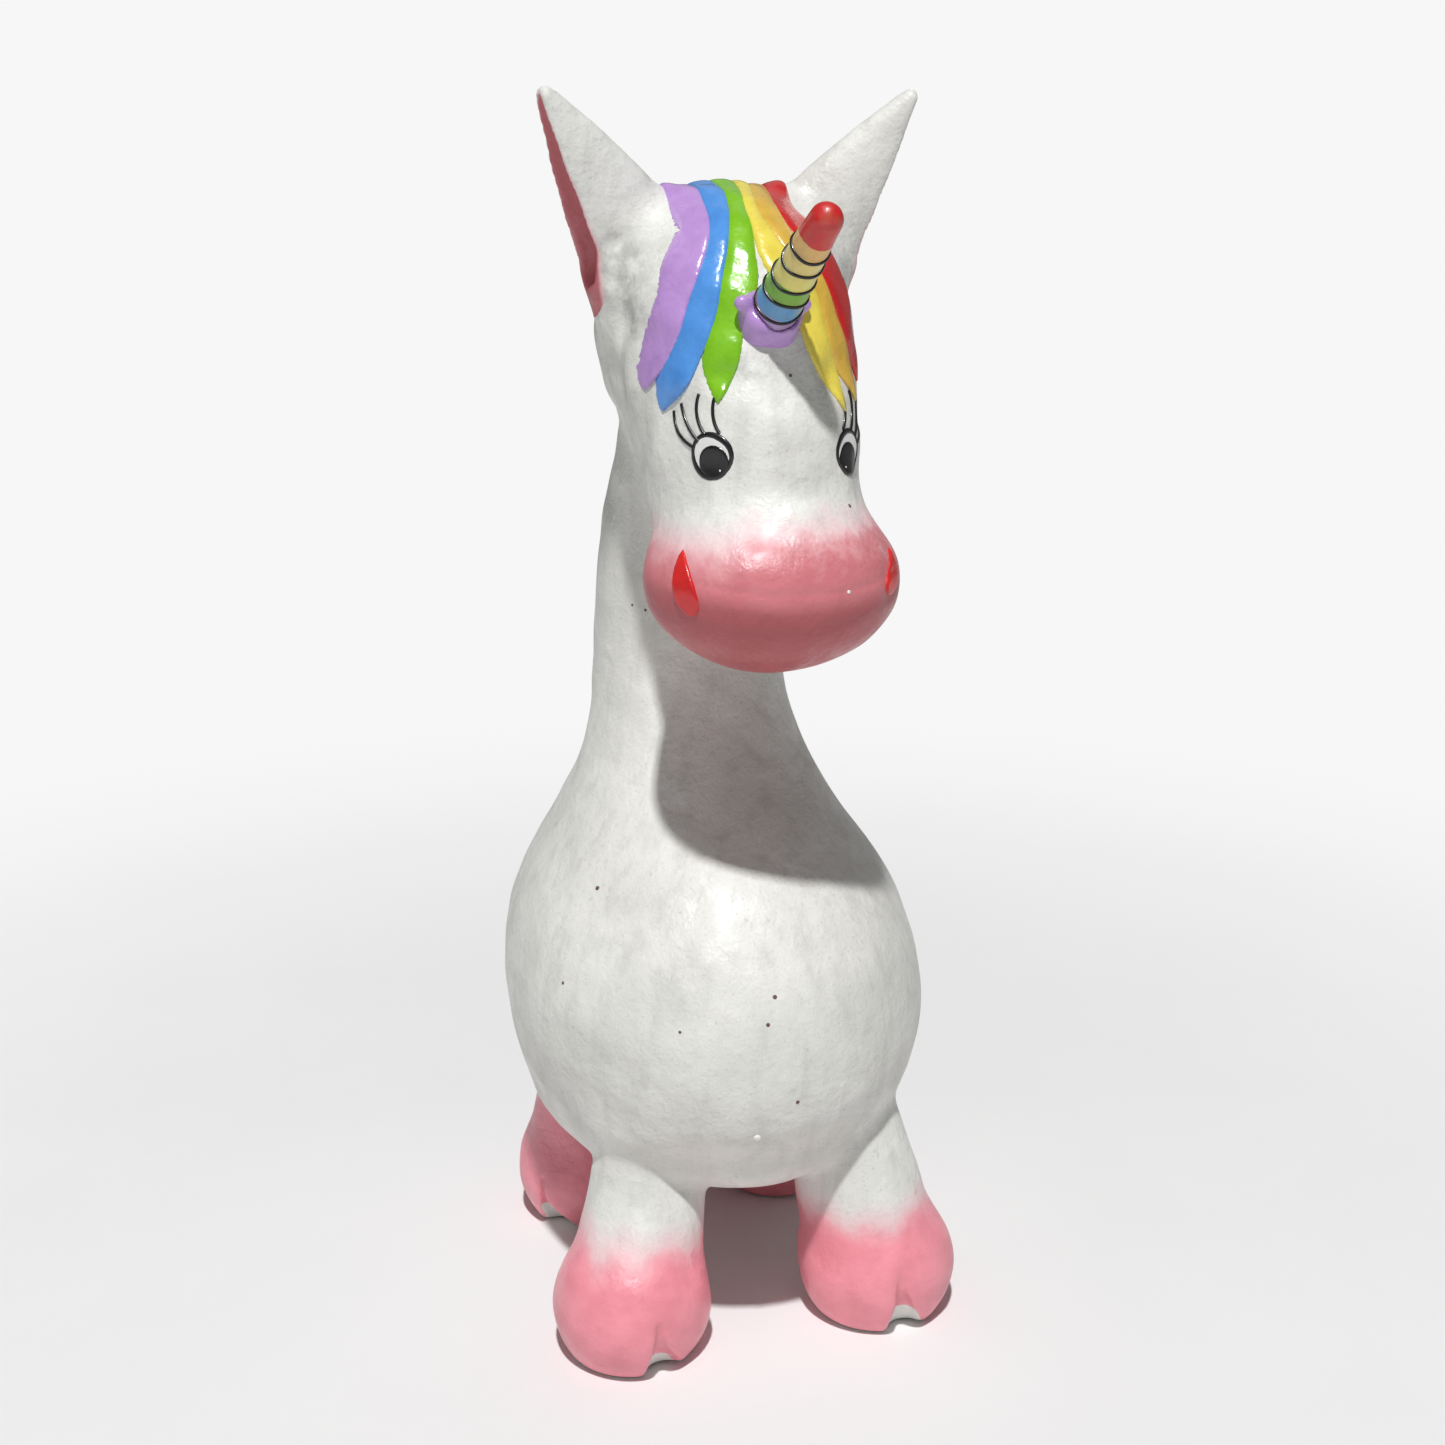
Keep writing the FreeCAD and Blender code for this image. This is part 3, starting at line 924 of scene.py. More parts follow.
def paint(red: int, green: int, blue: int) -> tuple[float, float, float, float]:
    """A colour as it looks on the brush, from three values up to 255."""
    linear = [((value / 255 + 0.055) / 1.055) ** 2.4 if value > 10 else value / 3294 for value in (red, green, blue)]
    return (*linear, 1.0)


@dataclass(frozen=True)
class WhiteCoat:
    """Hand-brushed white over moulded pulp, with a pink that is dabbed on towards the muzzle, hooves and ears, and
    painted shade as a deeper pink under the muzzle.
    """

    name: str = "white_coat"
    white: tuple[float, ...] = paint(232, 232, 227)
    shade: tuple[float, ...] = paint(198, 198, 192)
    smudge: tuple[float, ...] = paint(158, 158, 154)
    pale_pink: tuple[float, ...] = paint(238, 186, 192)
    candy_pink: tuple[float, ...] = paint(248, 154, 168)
    pink: tuple[float, ...] = paint(214, 126, 133)
    # A darker pink: the ears' own colour and random patches, and painted shade on the muzzle's underside.
    deep_pink: tuple[float, ...] = paint(178, 86, 92)
    fleck: tuple[float, ...] = paint(96, 84, 72)
    stain: tuple[float, ...] = paint(176, 156, 112)

    def make(self) -> bpy.types.Material:
        """Build the material.

        Returns:
            The finished material.
        """
        recipe = Recipe(self.name)
        cloud = recipe.ramp(recipe.noise(26, 3, seed=1), 0.35, 0.7)
        streaks = recipe.ramp(recipe.noise(5, 3, recipe.stretched((1, 1, 0.12)), seed=2), 0.45, 0.75)
        grime = recipe.ramp(recipe.noise(3.0, 4, seed=3), 0.62, 0.78)
        region = recipe.ramp(recipe.noise(30, 2, seed=4), 0.45, 0.7)
        colour = recipe.mix(recipe.math("MULTIPLY", cloud, 0.45), self.white, self.shade)
        colour = recipe.mix(recipe.math("MULTIPLY", streaks, 0.5), colour, self.shade)
        scratches = recipe.ramp(recipe.noise(1.5, 4, recipe.stretched((1, 1, 0.07)), seed=15), 0.60, 0.74)
        colour = recipe.mix(recipe.math("MULTIPLY", recipe.math("MULTIPLY", scratches, region), 0.5), colour, self.smudge)
        colour = recipe.mix(recipe.math("MULTIPLY", recipe.math("MULTIPLY", grime, region), 0.5), colour, self.smudge)
        # Greyer white where the listed grey patches lie, in dents and creases of the head, on the neck and low on the
        # body.
        greyed = recipe.math("MULTIPLY", recipe.attribute("smudge"), recipe.ramp(recipe.noise(3.2, 4, seed=5), 0.3, 0.7))
        colour = recipe.mix(recipe.math("MULTIPLY", greyed, 0.9), colour, self.smudge)
        speckle = recipe.ramp(recipe.noise(0.8, 3, seed=18), 0.56, 0.72)
        colour = recipe.mix(recipe.math("MULTIPLY", speckle, 0.25), colour, self.smudge)
        sparse = recipe.ramp(recipe.noise(16, 1, seed=7), 0.46, 0.56)
        for spacing, size, strength, seed in ((9.0, 0.045, 0.9, 6.0), (4.2, 0.05, 0.6, 16.0)):
            flecks = recipe.math("MULTIPLY", recipe.specks(spacing, size, seed), sparse)
            colour = recipe.mix(recipe.math("MULTIPLY", flecks, strength), colour, self.fleck)
        edge = recipe.attribute("pink_edge")
        ragged = recipe.math("ADD", recipe.noise(4.5, 4, seed=8), recipe.math("MULTIPLY", recipe.noise(1.3, 3, seed=9), 0.4))
        ragged = recipe.math("MULTIPLY", recipe.math("SUBTRACT", ragged, 0.7), recipe.attribute("pink_ragged"))
        edge = recipe.math("ADD", edge, ragged)
        # How deep the pink is: the ears' own deeper pink, and on the muzzle a darker pink below the mouth line that is
        # painted shade.
        depth = recipe.attribute("pink_depth")
        tone = recipe.mix(recipe.ramp(depth, 0.0, 0.5), self.candy_pink, self.pink)
        tone = recipe.mix(recipe.ramp(depth, 0.5, 1.0), tone, self.deep_pink)
        patches = recipe.ramp(recipe.noise(9, 3, seed=10), 0.35, 0.7, 0.0, 0.25)
        tone = recipe.mix(patches, tone, self.deep_pink)
        colour = recipe.mix(recipe.ramp(edge, -9.0, 1.5), colour, self.pale_pink)
        colour = recipe.mix(recipe.ramp(edge, -3.0, 2.2), colour, tone)
        wear = recipe.math("ADD", recipe.attribute("chip"), recipe.math("SUBTRACT", recipe.noise(1.8, 3, seed=11), 0.5))
        colour = recipe.mix(recipe.ramp(wear, 0.42, 0.58), colour, self.white)
        gloss = recipe.ramp(recipe.noise(8, 3, seed=12), 0.42, 0.66)
        roughness = recipe.math("SUBTRACT", 0.58, recipe.math("MULTIPLY", gloss, 0.18))
        roughness = recipe.math("SUBTRACT", roughness, recipe.ramp(edge, -3, 2, 0.0, 0.12))
        normal = recipe.relief(recipe.noise(9, 3, seed=13), 0.9)
        normal = recipe.relief(recipe.noise(2.6, 3, seed=17), 0.34, under=normal)
        normal = recipe.relief(recipe.noise(0.7, 4, seed=14), 0.11, under=normal)
        normal = recipe.relief(streaks, 0.08, under=normal)
        recipe.set(Base_Color=colour, Roughness=roughness, Normal=normal, Coat_Weight=0.06, Coat_Roughness=0.2)
        return recipe.material


@dataclass(frozen=True)
class GlossPaint:
    """Thick glossy paint with the lumps and pooled edges of a hand-held brush."""

    name: str
    colour: tuple[float, ...]
    pooled: tuple[float, ...]
    lump: float = 2.6
    depth: float = 0.30
    roughness: float = 0.24
    flecks: float = 0.5

    def make(self) -> bpy.types.Material:
        """Build the material.

        Returns:
            The finished material.
        """
        recipe = Recipe(self.name)
        thick = recipe.ramp(recipe.noise(4.5, 3, seed=21), 0.3, 0.75)
        strokes = recipe.noise(1.6, 3, recipe.stretched((1, 1, 0.25)), seed=22)
        colour = recipe.mix(recipe.math("MULTIPLY", thick, 0.55), self.colour, self.pooled)
        colour = recipe.mix(recipe.ramp(strokes, 0.5, 0.8, 0.0, 0.2), colour, self.pooled)
        specks = recipe.math("MULTIPLY", recipe.specks(3.4, 0.06, 23.0), self.flecks)
        colour = recipe.mix(specks, colour, paint(40, 36, 34))
        roughness = recipe.ramp(recipe.noise(3.5, 2, seed=24), 0.3, 0.7, self.roughness - 0.06, self.roughness + 0.10)
        normal = recipe.relief(recipe.noise(self.lump, 2, seed=25), self.depth)
        normal = recipe.relief(strokes, 0.06, under=normal)
        recipe.set(Base_Color=colour, Roughness=roughness, Normal=normal, Coat_Weight=0.35, Coat_Roughness=0.12)
        return recipe.material


@dataclass(frozen=True)
class Fibre:
    """Bare paper, card, wood or ribbon, which only show inside and underneath."""

    name: str
    colour: tuple[float, ...]
    dark: tuple[float, ...]
    grain: Point
    size: float = 1.2
    depth: float = 0.08
    roughness: float = 0.8
    sheen: float = 0.0

    def make(self) -> bpy.types.Material:
        """Build the material.

        Returns:
            The finished material.
        """
        recipe = Recipe(self.name)
        threads = recipe.noise(self.size, 5, recipe.stretched(self.grain), seed=31)
        cloud = recipe.noise(self.size * 7, 2, seed=32)
        colour = recipe.mix(recipe.ramp(threads, 0.35, 0.7), self.colour, self.dark)
        colour = recipe.mix(recipe.ramp(cloud, 0.4, 0.8, 0.0, 0.4), colour, self.dark)
        roughness = recipe.ramp(threads, 0.3, 0.7, self.roughness - 0.08, min(1.0, self.roughness + 0.08))
        normal = recipe.relief(threads, self.depth)
        recipe.set(Base_Color=colour, Roughness=roughness, Normal=normal, Sheen_Weight=self.sheen)
        return recipe.material


# ---------------------------------------------------------------- sub-assemblies: the moulded pieces


@dataclass(frozen=True)
class Smudge:
    """A place where the white coat is painted greyer."""

    centre: Point
    radius: float
    strength: float

    def __call__(self, x: Array, y: Array, z: Array) -> Array:
        """How grey each point is."""
        gap = (x - self.centre[0]) ** 2 + (y - self.centre[1]) ** 2 + (z - self.centre[2]) ** 2
        return self.strength * np.exp(-gap / self.radius**2)


@dataclass
class PulpBody:
    """All moulded pieces: the halves of the body and head, the muzzle, the ears and the legs."""

    skin: Skin
    finish: bpy.types.Material
    muzzle_edge: float = 205.5
    muzzle_edge_right: float = 202.0
    # Height of the line below which the muzzle's pink is darkened as painted shade.
    mouth: float = 193.5
    ear_lip: float = 2.5
    muzzle_fade: float = 0.32
    hoof_edges: dict[str, float] = field(
        default_factory=lambda: {
            "front_right_leg": 27.5,
            "front_left_leg": 28.0,
            "rear_right_leg": 36.0,
            "rear_left_leg": 31.0,
        }
    )
    smudges: tuple[Smudge, ...] = (
        Smudge((-29, -16, 262), 8.0, 1.0),
        Smudge((29, -16, 262), 8.0, 0.8),
        Smudge((-27, -22, 252), 7.0, 0.6),
        Smudge((-22, -8, 214), 6.0, 0.7),
        Smudge((-27, -14, 207), 5.0, 0.8),
        Smudge((-8, -47, 243), 4.5, 0.6),
        Smudge((10, -46, 244), 4.5, 0.5),
        Smudge((-26, -24, 236), 5.0, 0.4),
        Smudge((-40, 30, 44), 8.0, 0.7),
    )

    def pinkness(self, name: str, x: Array, y: Array, z: Array) -> tuple[Array, Array, Array]:
        """Where the pink lies on one piece.

        Args:
            name: The form that the piece belongs to.
            x, y, z: The piece's points.

        Returns:
            Millimetres inside the painted edge, how ragged that edge is, and how deep the pink is, which below the
            muzzle's mouth line is deepened as painted shade.
        """
        figure = self.skin.figure
        if name in self.hoof_edges:
            leg = next(leg for leg in figure.legs if leg.node == name)
            edge = self.hoof_edges[name] - z + 1.4 * np.sin(x / 5.5 + y / 9) + 0.7 * np.sin(x / 2.1 - y / 3.3)
            edge = edge + 2.0 * ((x - leg.foot[0]) / leg.half_width) ** 2
            return np.minimum(edge, 0) + 0.6 * np.maximum(edge, 0), np.full_like(x, 4.0), np.zeros_like(x)
        if name.startswith("ear"):
            ear = next(ear for ear in figure.ears if name.endswith(ear.side.word))
            share = (z - ear.root[2]) / (ear.tip[2] - ear.root[2])
            behind = y - (ear.root[1] + (ear.tip[1] - ear.root[1]) * share)
            edge = np.minimum((1.12 - ear.nearness(x, y, z)) * 30, (self.ear_lip - behind) * 2.0)
            return edge, np.full_like(x, 3.5), np.full_like(x, 0.8)
        side = smooth_step(-x, 8, 18)
        height = self.muzzle_edge * (1 - side) + self.muzzle_edge_right * side
        on_muzzle = 4.0 - 1.6 * figure.skull.muzzle(x, y, z)
        below = height - z
        edge = np.minimum(np.minimum(below, 0) + self.muzzle_fade * np.maximum(below, 0), on_muzzle)
        ragged = 7.0 - 3.5 * side
        # Below the mouth line the pink deepens: painted shade on the muzzle's underside.
        depth_and_shade = 0.5 + 0.5 * smooth_step(self.mouth + 0.004 * x * x - z, -2.5, 5.0)
        return edge, ragged, depth_and_shade

    def chipped(self, name: str, x: Array, y: Array, z: Array) -> Array:
        """Where the pink is worn off a leg: in the groove between the toes and along the sole's edge."""
        for leg in self.skin.figure.legs:
            if leg.node == name:
                groove = smooth_step(-leg.cleft_field(x, y, z), -0.7, 0.2) * smooth_step(-z, -9.0, -6.0)
                return np.maximum(groove * 0.9, smooth_step(-z, -1.8, -0.4) * 0.7)
        return np.zeros_like(x)

    def tint(self, piece: bpy.types.Object, name: str, surface: Surface) -> None:
        """Write the finish's guides onto a piece.

        Args:
            piece: The piece.
            name: The form that it belongs to.
            surface: The geometry that it was made from.
        """
        x, y, z = surface.points.T
        edge, ragged, depth_and_shade = self.pinkness(name, x, y, z)
        guides = {
            "pink_edge": edge,
            "pink_ragged": ragged,
            "pink_depth": depth_and_shade,
            "smudge": np.clip(sum(smudge(x, y, z) for smudge in self.smudges), 0, 1),
            "chip": self.chipped(name, x, y, z),
        }
        for guide, values in guides.items():
            layer = piece.data.attributes.new(guide, "FLOAT", "POINT")
            layer.data.foreach_set("value", values.astype(np.float32))

    def bored(self, patch: Surface) -> Surface:
        """Open the filler hole in a half of the body: its edge is drawn onto a true circle."""
        barrel = self.skin.figure.barrel
        points = patch.points.copy()
        across = points[:, :2] - np.array((0.0, FILLER_HOLE_Y))
        gap = np.linalg.norm(across, axis=1)
        under = points[:, 2] < barrel.belly_flat + 4
        inside = under & (gap < barrel.hole_radius)
        faces = patch.faces[~inside[patch.faces].all(axis=1)]
        edge = np.unique(faces[inside[faces].any(axis=1)])
        edge = edge[inside[edge]]
        safe = np.maximum(gap[edge], 0.1)[:, None]
        points[edge, :2] = np.array((0.0, FILLER_HOLE_Y)) + across[edge] / safe * barrel.hole_radius
        used, numbers = np.unique(faces, return_inverse=True)
        return Surface(points[used], numbers.reshape(faces.shape), patch.normals[used])

    def build(self) -> None:
        """Make every moulded piece."""
        wall = self.skin.figure.wall
        for form, node in (("body", "body_shell"), ("head", "head_shell")):
            for side in Side:
                patch = self.skin.patch(form, side)
                if form == "body":
                    patch = self.bored(patch)
                shell, outer = thicken(patch, wall)
                name = f"{node}_{side.word}"
                piece = make_piece(f"{name}_skin", shell, self.finish, FIGURE, (name,), outer)
                self.tint(piece, form, shell)
        shell, outer = thicken(self.skin.patch("muzzle"), wall)
        piece = make_piece("muzzle_skin", shell, self.finish, FIGURE, ("muzzle_shell",), outer)
        self.tint(piece, "muzzle", shell)
        for name in self.skin.names:
            if name.startswith("ear") or name.endswith("leg"):
                solid, outer = plug_rims(self.skin.patch(name))
                piece = make_piece(f"{name}_skin", solid, self.finish, FIGURE, (name,), outer)
                self.tint(piece, name, solid)


# ---------------------------------------------------------------- sub-assemblies: hair


class Growth(Enum):
    """The three groups of locks."""

    FORELOCK = "forelock"
    MANE = "mane"
    TAIL = "tail"


Edge = tuple[tuple[float, float], ...]


@dataclass(frozen=True)
class Lock:
    """One painted lock, with its two edges as (position, x) from the root to the tip."""

    growth: Growth
    colour: str
    left: Edge
    right: Edge

    @classmethod
    def centred(cls, growth: Growth, colour: str, rows: Sequence[tuple[float, float, float]]) -> "Lock":
        """A lock given by rows of (height, middle, width)."""
        left = tuple((-height, middle - width / 2) for height, middle, width in rows)
        right = tuple((-height, middle + width / 2) for height, middle, width in rows)
        return cls(growth, colour, left, right)


PARTINGS: dict[str, Edge] = {
    "outer_right": ((-12, -15.0), (5, -15.0), (20, -15.6), (29, -17.1), (34, -19.6), (43, -21.6), (52, -23.5),
                    (66, -25.3)),
    "lilac_blue": ((-12, -7.4), (2, -7.8), (23, -9.4), (35, -10.8), (45, -13.7), (54, -16.9), (67, -20.1),
                   (75, -22.2)),
    "blue_green": ((-12, -2.6), (11, -3.4), (23, -4.4), (37, -7.0), (46, -9.0), (56, -11.5), (63, -12.8),
                   (71, -15.2)),
    "green_yellow": ((-12, 1.4), (11, 0.9), (26, -1.1)),
    "yellow_gold": ((-12, 5.4), (7, 4.8), (28, 1.7), (39, 2.7), (44, 3.9), (57, 10.2), (69, 12.1), (81, 14.5)),
    "gold_red": ((-12, 9.8), (5, 9.2), (25, 6.9), (33, 7.2), (53, 13.1), (64, 16.4), (76, 19.9)),
    "outer_left": ((-12, 15.0), (5, 14.0), (23, 14.3), (31, 17.6), (39, 20.4), (50, 21.9), (65, 23.4), (76, 24.0)),
}
FORELOCK = (
    Lock(Growth.FORELOCK, "lilac", PARTINGS["outer_right"] + ((80, -26.0), (87, -25.4)),
         PARTINGS["lilac_blue"] + ((87, -25.4),)),
    Lock(Growth.FORELOCK, "blue", PARTINGS["lilac_blue"] + ((88, -23.4), (96, -23.0)),
         PARTINGS["blue_green"] + ((81, -18.3), (96, -23.0))),
    Lock(Growth.FORELOCK, "green", PARTINGS["blue_green"] + ((80, -15.9), (90, -14.5)),
         PARTINGS["green_yellow"] + ((39, -2.2), (47, -3.0), (55, -3.6), (68, -7.6), (75, -9.1), (85, -11.9),
                                     (90, -14.5))),
    Lock(Growth.FORELOCK, "yellow", PARTINGS["green_yellow"] + ((40, -1.7), (51, -1.0), (60, 2.2), (70, 5.4),
                                                                (78, 7.2), (94, 15.3)),
         PARTINGS["yellow_gold"] + ((94, 15.3),)),
    Lock(Growth.FORELOCK, "gold", PARTINGS["yellow_gold"] + ((88, 18.2), (93, 20.4)),
         PARTINGS["gold_red"] + ((93, 20.4),)),
    Lock(Growth.FORELOCK, "red", PARTINGS["gold_red"] + ((86, 23.5),), PARTINGS["outer_left"] + ((86, 23.5),)),
)
MANE = (
    Lock.centred(Growth.MANE, "lilac", ((284, -11.2, 7.6), (240, -11.6, 6.6), (200, -12.8, 7.0), (165, -10.8, 5.4),
                                        (146, -12.5, 0))),
    Lock.centred(Growth.MANE, "blue", ((284, -5.0, 4.8), (240, -5.8, 5.0), (200, -6.8, 5.0), (160, -4.6, 6.2),
                                       (132, -8.0, 0))),
    Lock.centred(Growth.MANE, "green", ((284, -0.6, 4.0), (240, -1.2, 4.2), (200, -1.6, 5.4), (155, 1.0, 5.4),
                                        (122, -2.5, 0))),
    Lock.centred(Growth.MANE, "yellow", ((284, 3.4, 4.0), (240, 3.1, 4.4), (200, 3.6, 5.0), (155, 6.2, 5.0),
                                         (126, 3.5, 0))),
    Lock.centred(Growth.MANE, "gold", ((284, 7.6, 4.4), (240, 7.5, 4.4), (200, 8.4, 4.6), (162, 11.0, 4.8),
                                       (136, 8.8, 0))),
    Lock.centred(Growth.MANE, "red", ((284, 12.4, 5.2), (240, 12.4, 5.4), (200, 13.2, 5.0), (168, 14.9, 3.8),
                                      (150, 13.2, 0))),
)
TAIL = (
    Lock.centred(Growth.TAIL, "lilac", ((116, -5.8, 2.8), (96, -9.6, 5.4), (72, -13.5, 5.6), (54, -12.3, 4.2),
                                        (42, -14.5, 0))),
    Lock.centred(Growth.TAIL, "blue", ((118, -3.5, 2.6), (96, -5.0, 4.4), (70, -8.0, 5.6), (48, -7.2, 4.8),
                                       (34, -9.5, 0))),
    Lock.centred(Growth.TAIL, "green", ((119, -1.1, 2.6), (96, -1.1, 3.8), (70, -2.4, 5.6), (46, -2.2, 5.0),
                                        (28, -4.0, 0))),
    Lock.centred(Growth.TAIL, "yellow", ((119, 1.4, 2.6), (96, 2.4, 3.6), (70, 3.1, 5.6), (46, 2.9, 5.0),
                                         (30, 1.5, 0))),
    Lock.centred(Growth.TAIL, "gold", ((118, 3.8, 2.6), (96, 5.9, 3.8), (70, 8.3, 5.2), (50, 7.9, 4.8),
                                       (36, 6.8, 0))),
    Lock.centred(Growth.TAIL, "red", ((116, 6.2, 2.8), (96, 10.1, 5.0), (74, 13.6, 5.6), (58, 13.0, 4.4),
                                      (46, 14.0, 0))),
)


@dataclass(frozen=True)
class Pile:
    """How a group of locks stands on the skin, in millimetres."""

    rise: float
    rounding: float
    front: float
    unit: float = 1.0
    strand: float = 0.0
    bed: float = 0.5
    overlap: float = 0.35


@dataclass
class Hair:
    """The forelock, mane and tail, each of six locks laid side by side on the skin."""

    figure: Figure
    finishes: dict[str, bpy.types.Material]
    crown: tuple[float, float] = (-5.0, 235.0)
    crown_end: float = 3.6
    piles: dict[Growth, Pile] = field(
        default_factory=lambda: {
            Growth.FORELOCK: Pile(0.85, 2.4, -400.0, 0.77),
            Growth.MANE: Pile(2.1, 2.6, 3.2, strand=0.28),
            Growth.TAIL: Pile(3.6, 3.2, 40.0, strand=0.35),
        }
    )
    pitch: float = 0.55

    def position(self, growth: Growth, y: Array, z: Array) -> Array:
        """Positions along a lock: degrees forwards from straight up, or the height turned downwards."""
        if growth is Growth.FORELOCK:
            return np.degrees(np.arctan2(self.crown[0] - y, z - self.crown[1]))
        return -z

    def form(self, lock: Lock) -> Field:
        """The field of one lock.

        Args:
            lock: Which lock.

        Returns:
            Its distances.
        """
        pile = self.piles[lock.growth]
        left, right = Curve(*zip(*lock.left)), Curve(*zip(*lock.right))
        root, tip = lock.left[0][0], lock.left[-1][0]

        def depth(x: Array, y: Array, z: Array) -> Array:
            """Distances to the lock: a rounded layer over the skin, inside the lock's outline."""
            place = self.position(lock.growth, y, z)
            low, high = left(place), right(place)
            ends = np.minimum(tip - place, place - root) * pile.unit
            behind = y - pile.front
            if lock.growth is Growth.MANE:
                behind = np.minimum(behind, y - self.figure.barrel.middle(z))
            inside = np.minimum(np.minimum(x - low, high - x), np.minimum(ends, behind)) + pile.overlap
            share = np.clip(inside / pile.rounding, 0, 1)
            across = (x - low) / np.maximum(high - low, 1.0)
            height = pile.rise * np.sqrt(share * (2 - share)) + 2 * np.minimum(inside, 0)
            height = height + pile.strand * share * np.cos(across * 4 * math.pi)
            gap = self.figure.field(x, y, z)
            return np.maximum(gap - height, -(gap + pile.bed))

        return depth

    def room(self, lock: Lock) -> tuple[Point, Point]:
        """The corners of a box round one lock."""
        spare = 3.0
        across = [x for _, x in lock.left + lock.right]
        low_x, high_x = min(across) - spare, max(across) + spare
        if lock.growth is Growth.FORELOCK:
            return (low_x, -60, 222), (high_x, 8, 286)
        top, bottom = -lock.left[0][0], -lock.left[-1][0]
        front = self.piles[lock.growth].front
        return (low_x, front - 2, bottom - 4), (high_x, 82, top + 2)

    def build(self) -> None:
        """Make all the locks."""
        for lock in FORELOCK + MANE + TAIL:
            surface = skin(self.form(lock), *self.room(lock), self.pitch)
            name = f"{lock.growth.value}_{lock.colour}"
            make_piece(f"{name}_lock", surface, self.finishes[lock.colour], FIGURE, (name,))


# ---------------------------------------------------------------- sub-assemblies: the painted face


@dataclass(frozen=True)
class Board:
    """A flat board held against the skin, on which a shape is drawn: u runs towards the face's middle, v runs up."""

    centre: Point
    normal: Point
    side: Side

    def axes(self) -> tuple[Array, Array, Array]:
        """The board's own directions, for the animal's right side."""
        normal = unit(np.array(self.normal))
        along = unit(np.cross((0.0, 0.0, 1.0), normal))
        return along, np.cross(normal, along), normal

    def drawn(self, x: Array, y: Array, z: Array) -> tuple[Array, Array, Array]:
        """Coordinates on the board, and the distance out from it."""
        dx, dy, dz = -self.side.value * x - self.centre[0], y - self.centre[1], z - self.centre[2]
        along, up, out = (dx * axis[0] + dy * axis[1] + dz * axis[2] for axis in self.axes())
        return along, up, out

    def point(self, along: float, up: float) -> Array:
        """The place in front of the skin that a point of the drawing stands for."""
        axes = self.axes()
        spot = np.array(self.centre) + along * axes[0] + up * axes[1]
        return spot * np.array((-self.side.value, 1, 1))


def oval(along: Array, up: Array, centre: tuple[float, float], radii: tuple[float, float]) -> Array:
    """How far inside an oval each point is."""
    across, rise = along - centre[0], up - centre[1]
    near = np.sqrt((across / radii[0]) ** 2 + (rise / radii[1]) ** 2)
    slope = np.sqrt((across / radii[0] ** 2) ** 2 + (rise / radii[1] ** 2) ** 2) + 1e-6
    return -near * (near - 1) / slope


Drawing = Callable[[Array, Array], Array]


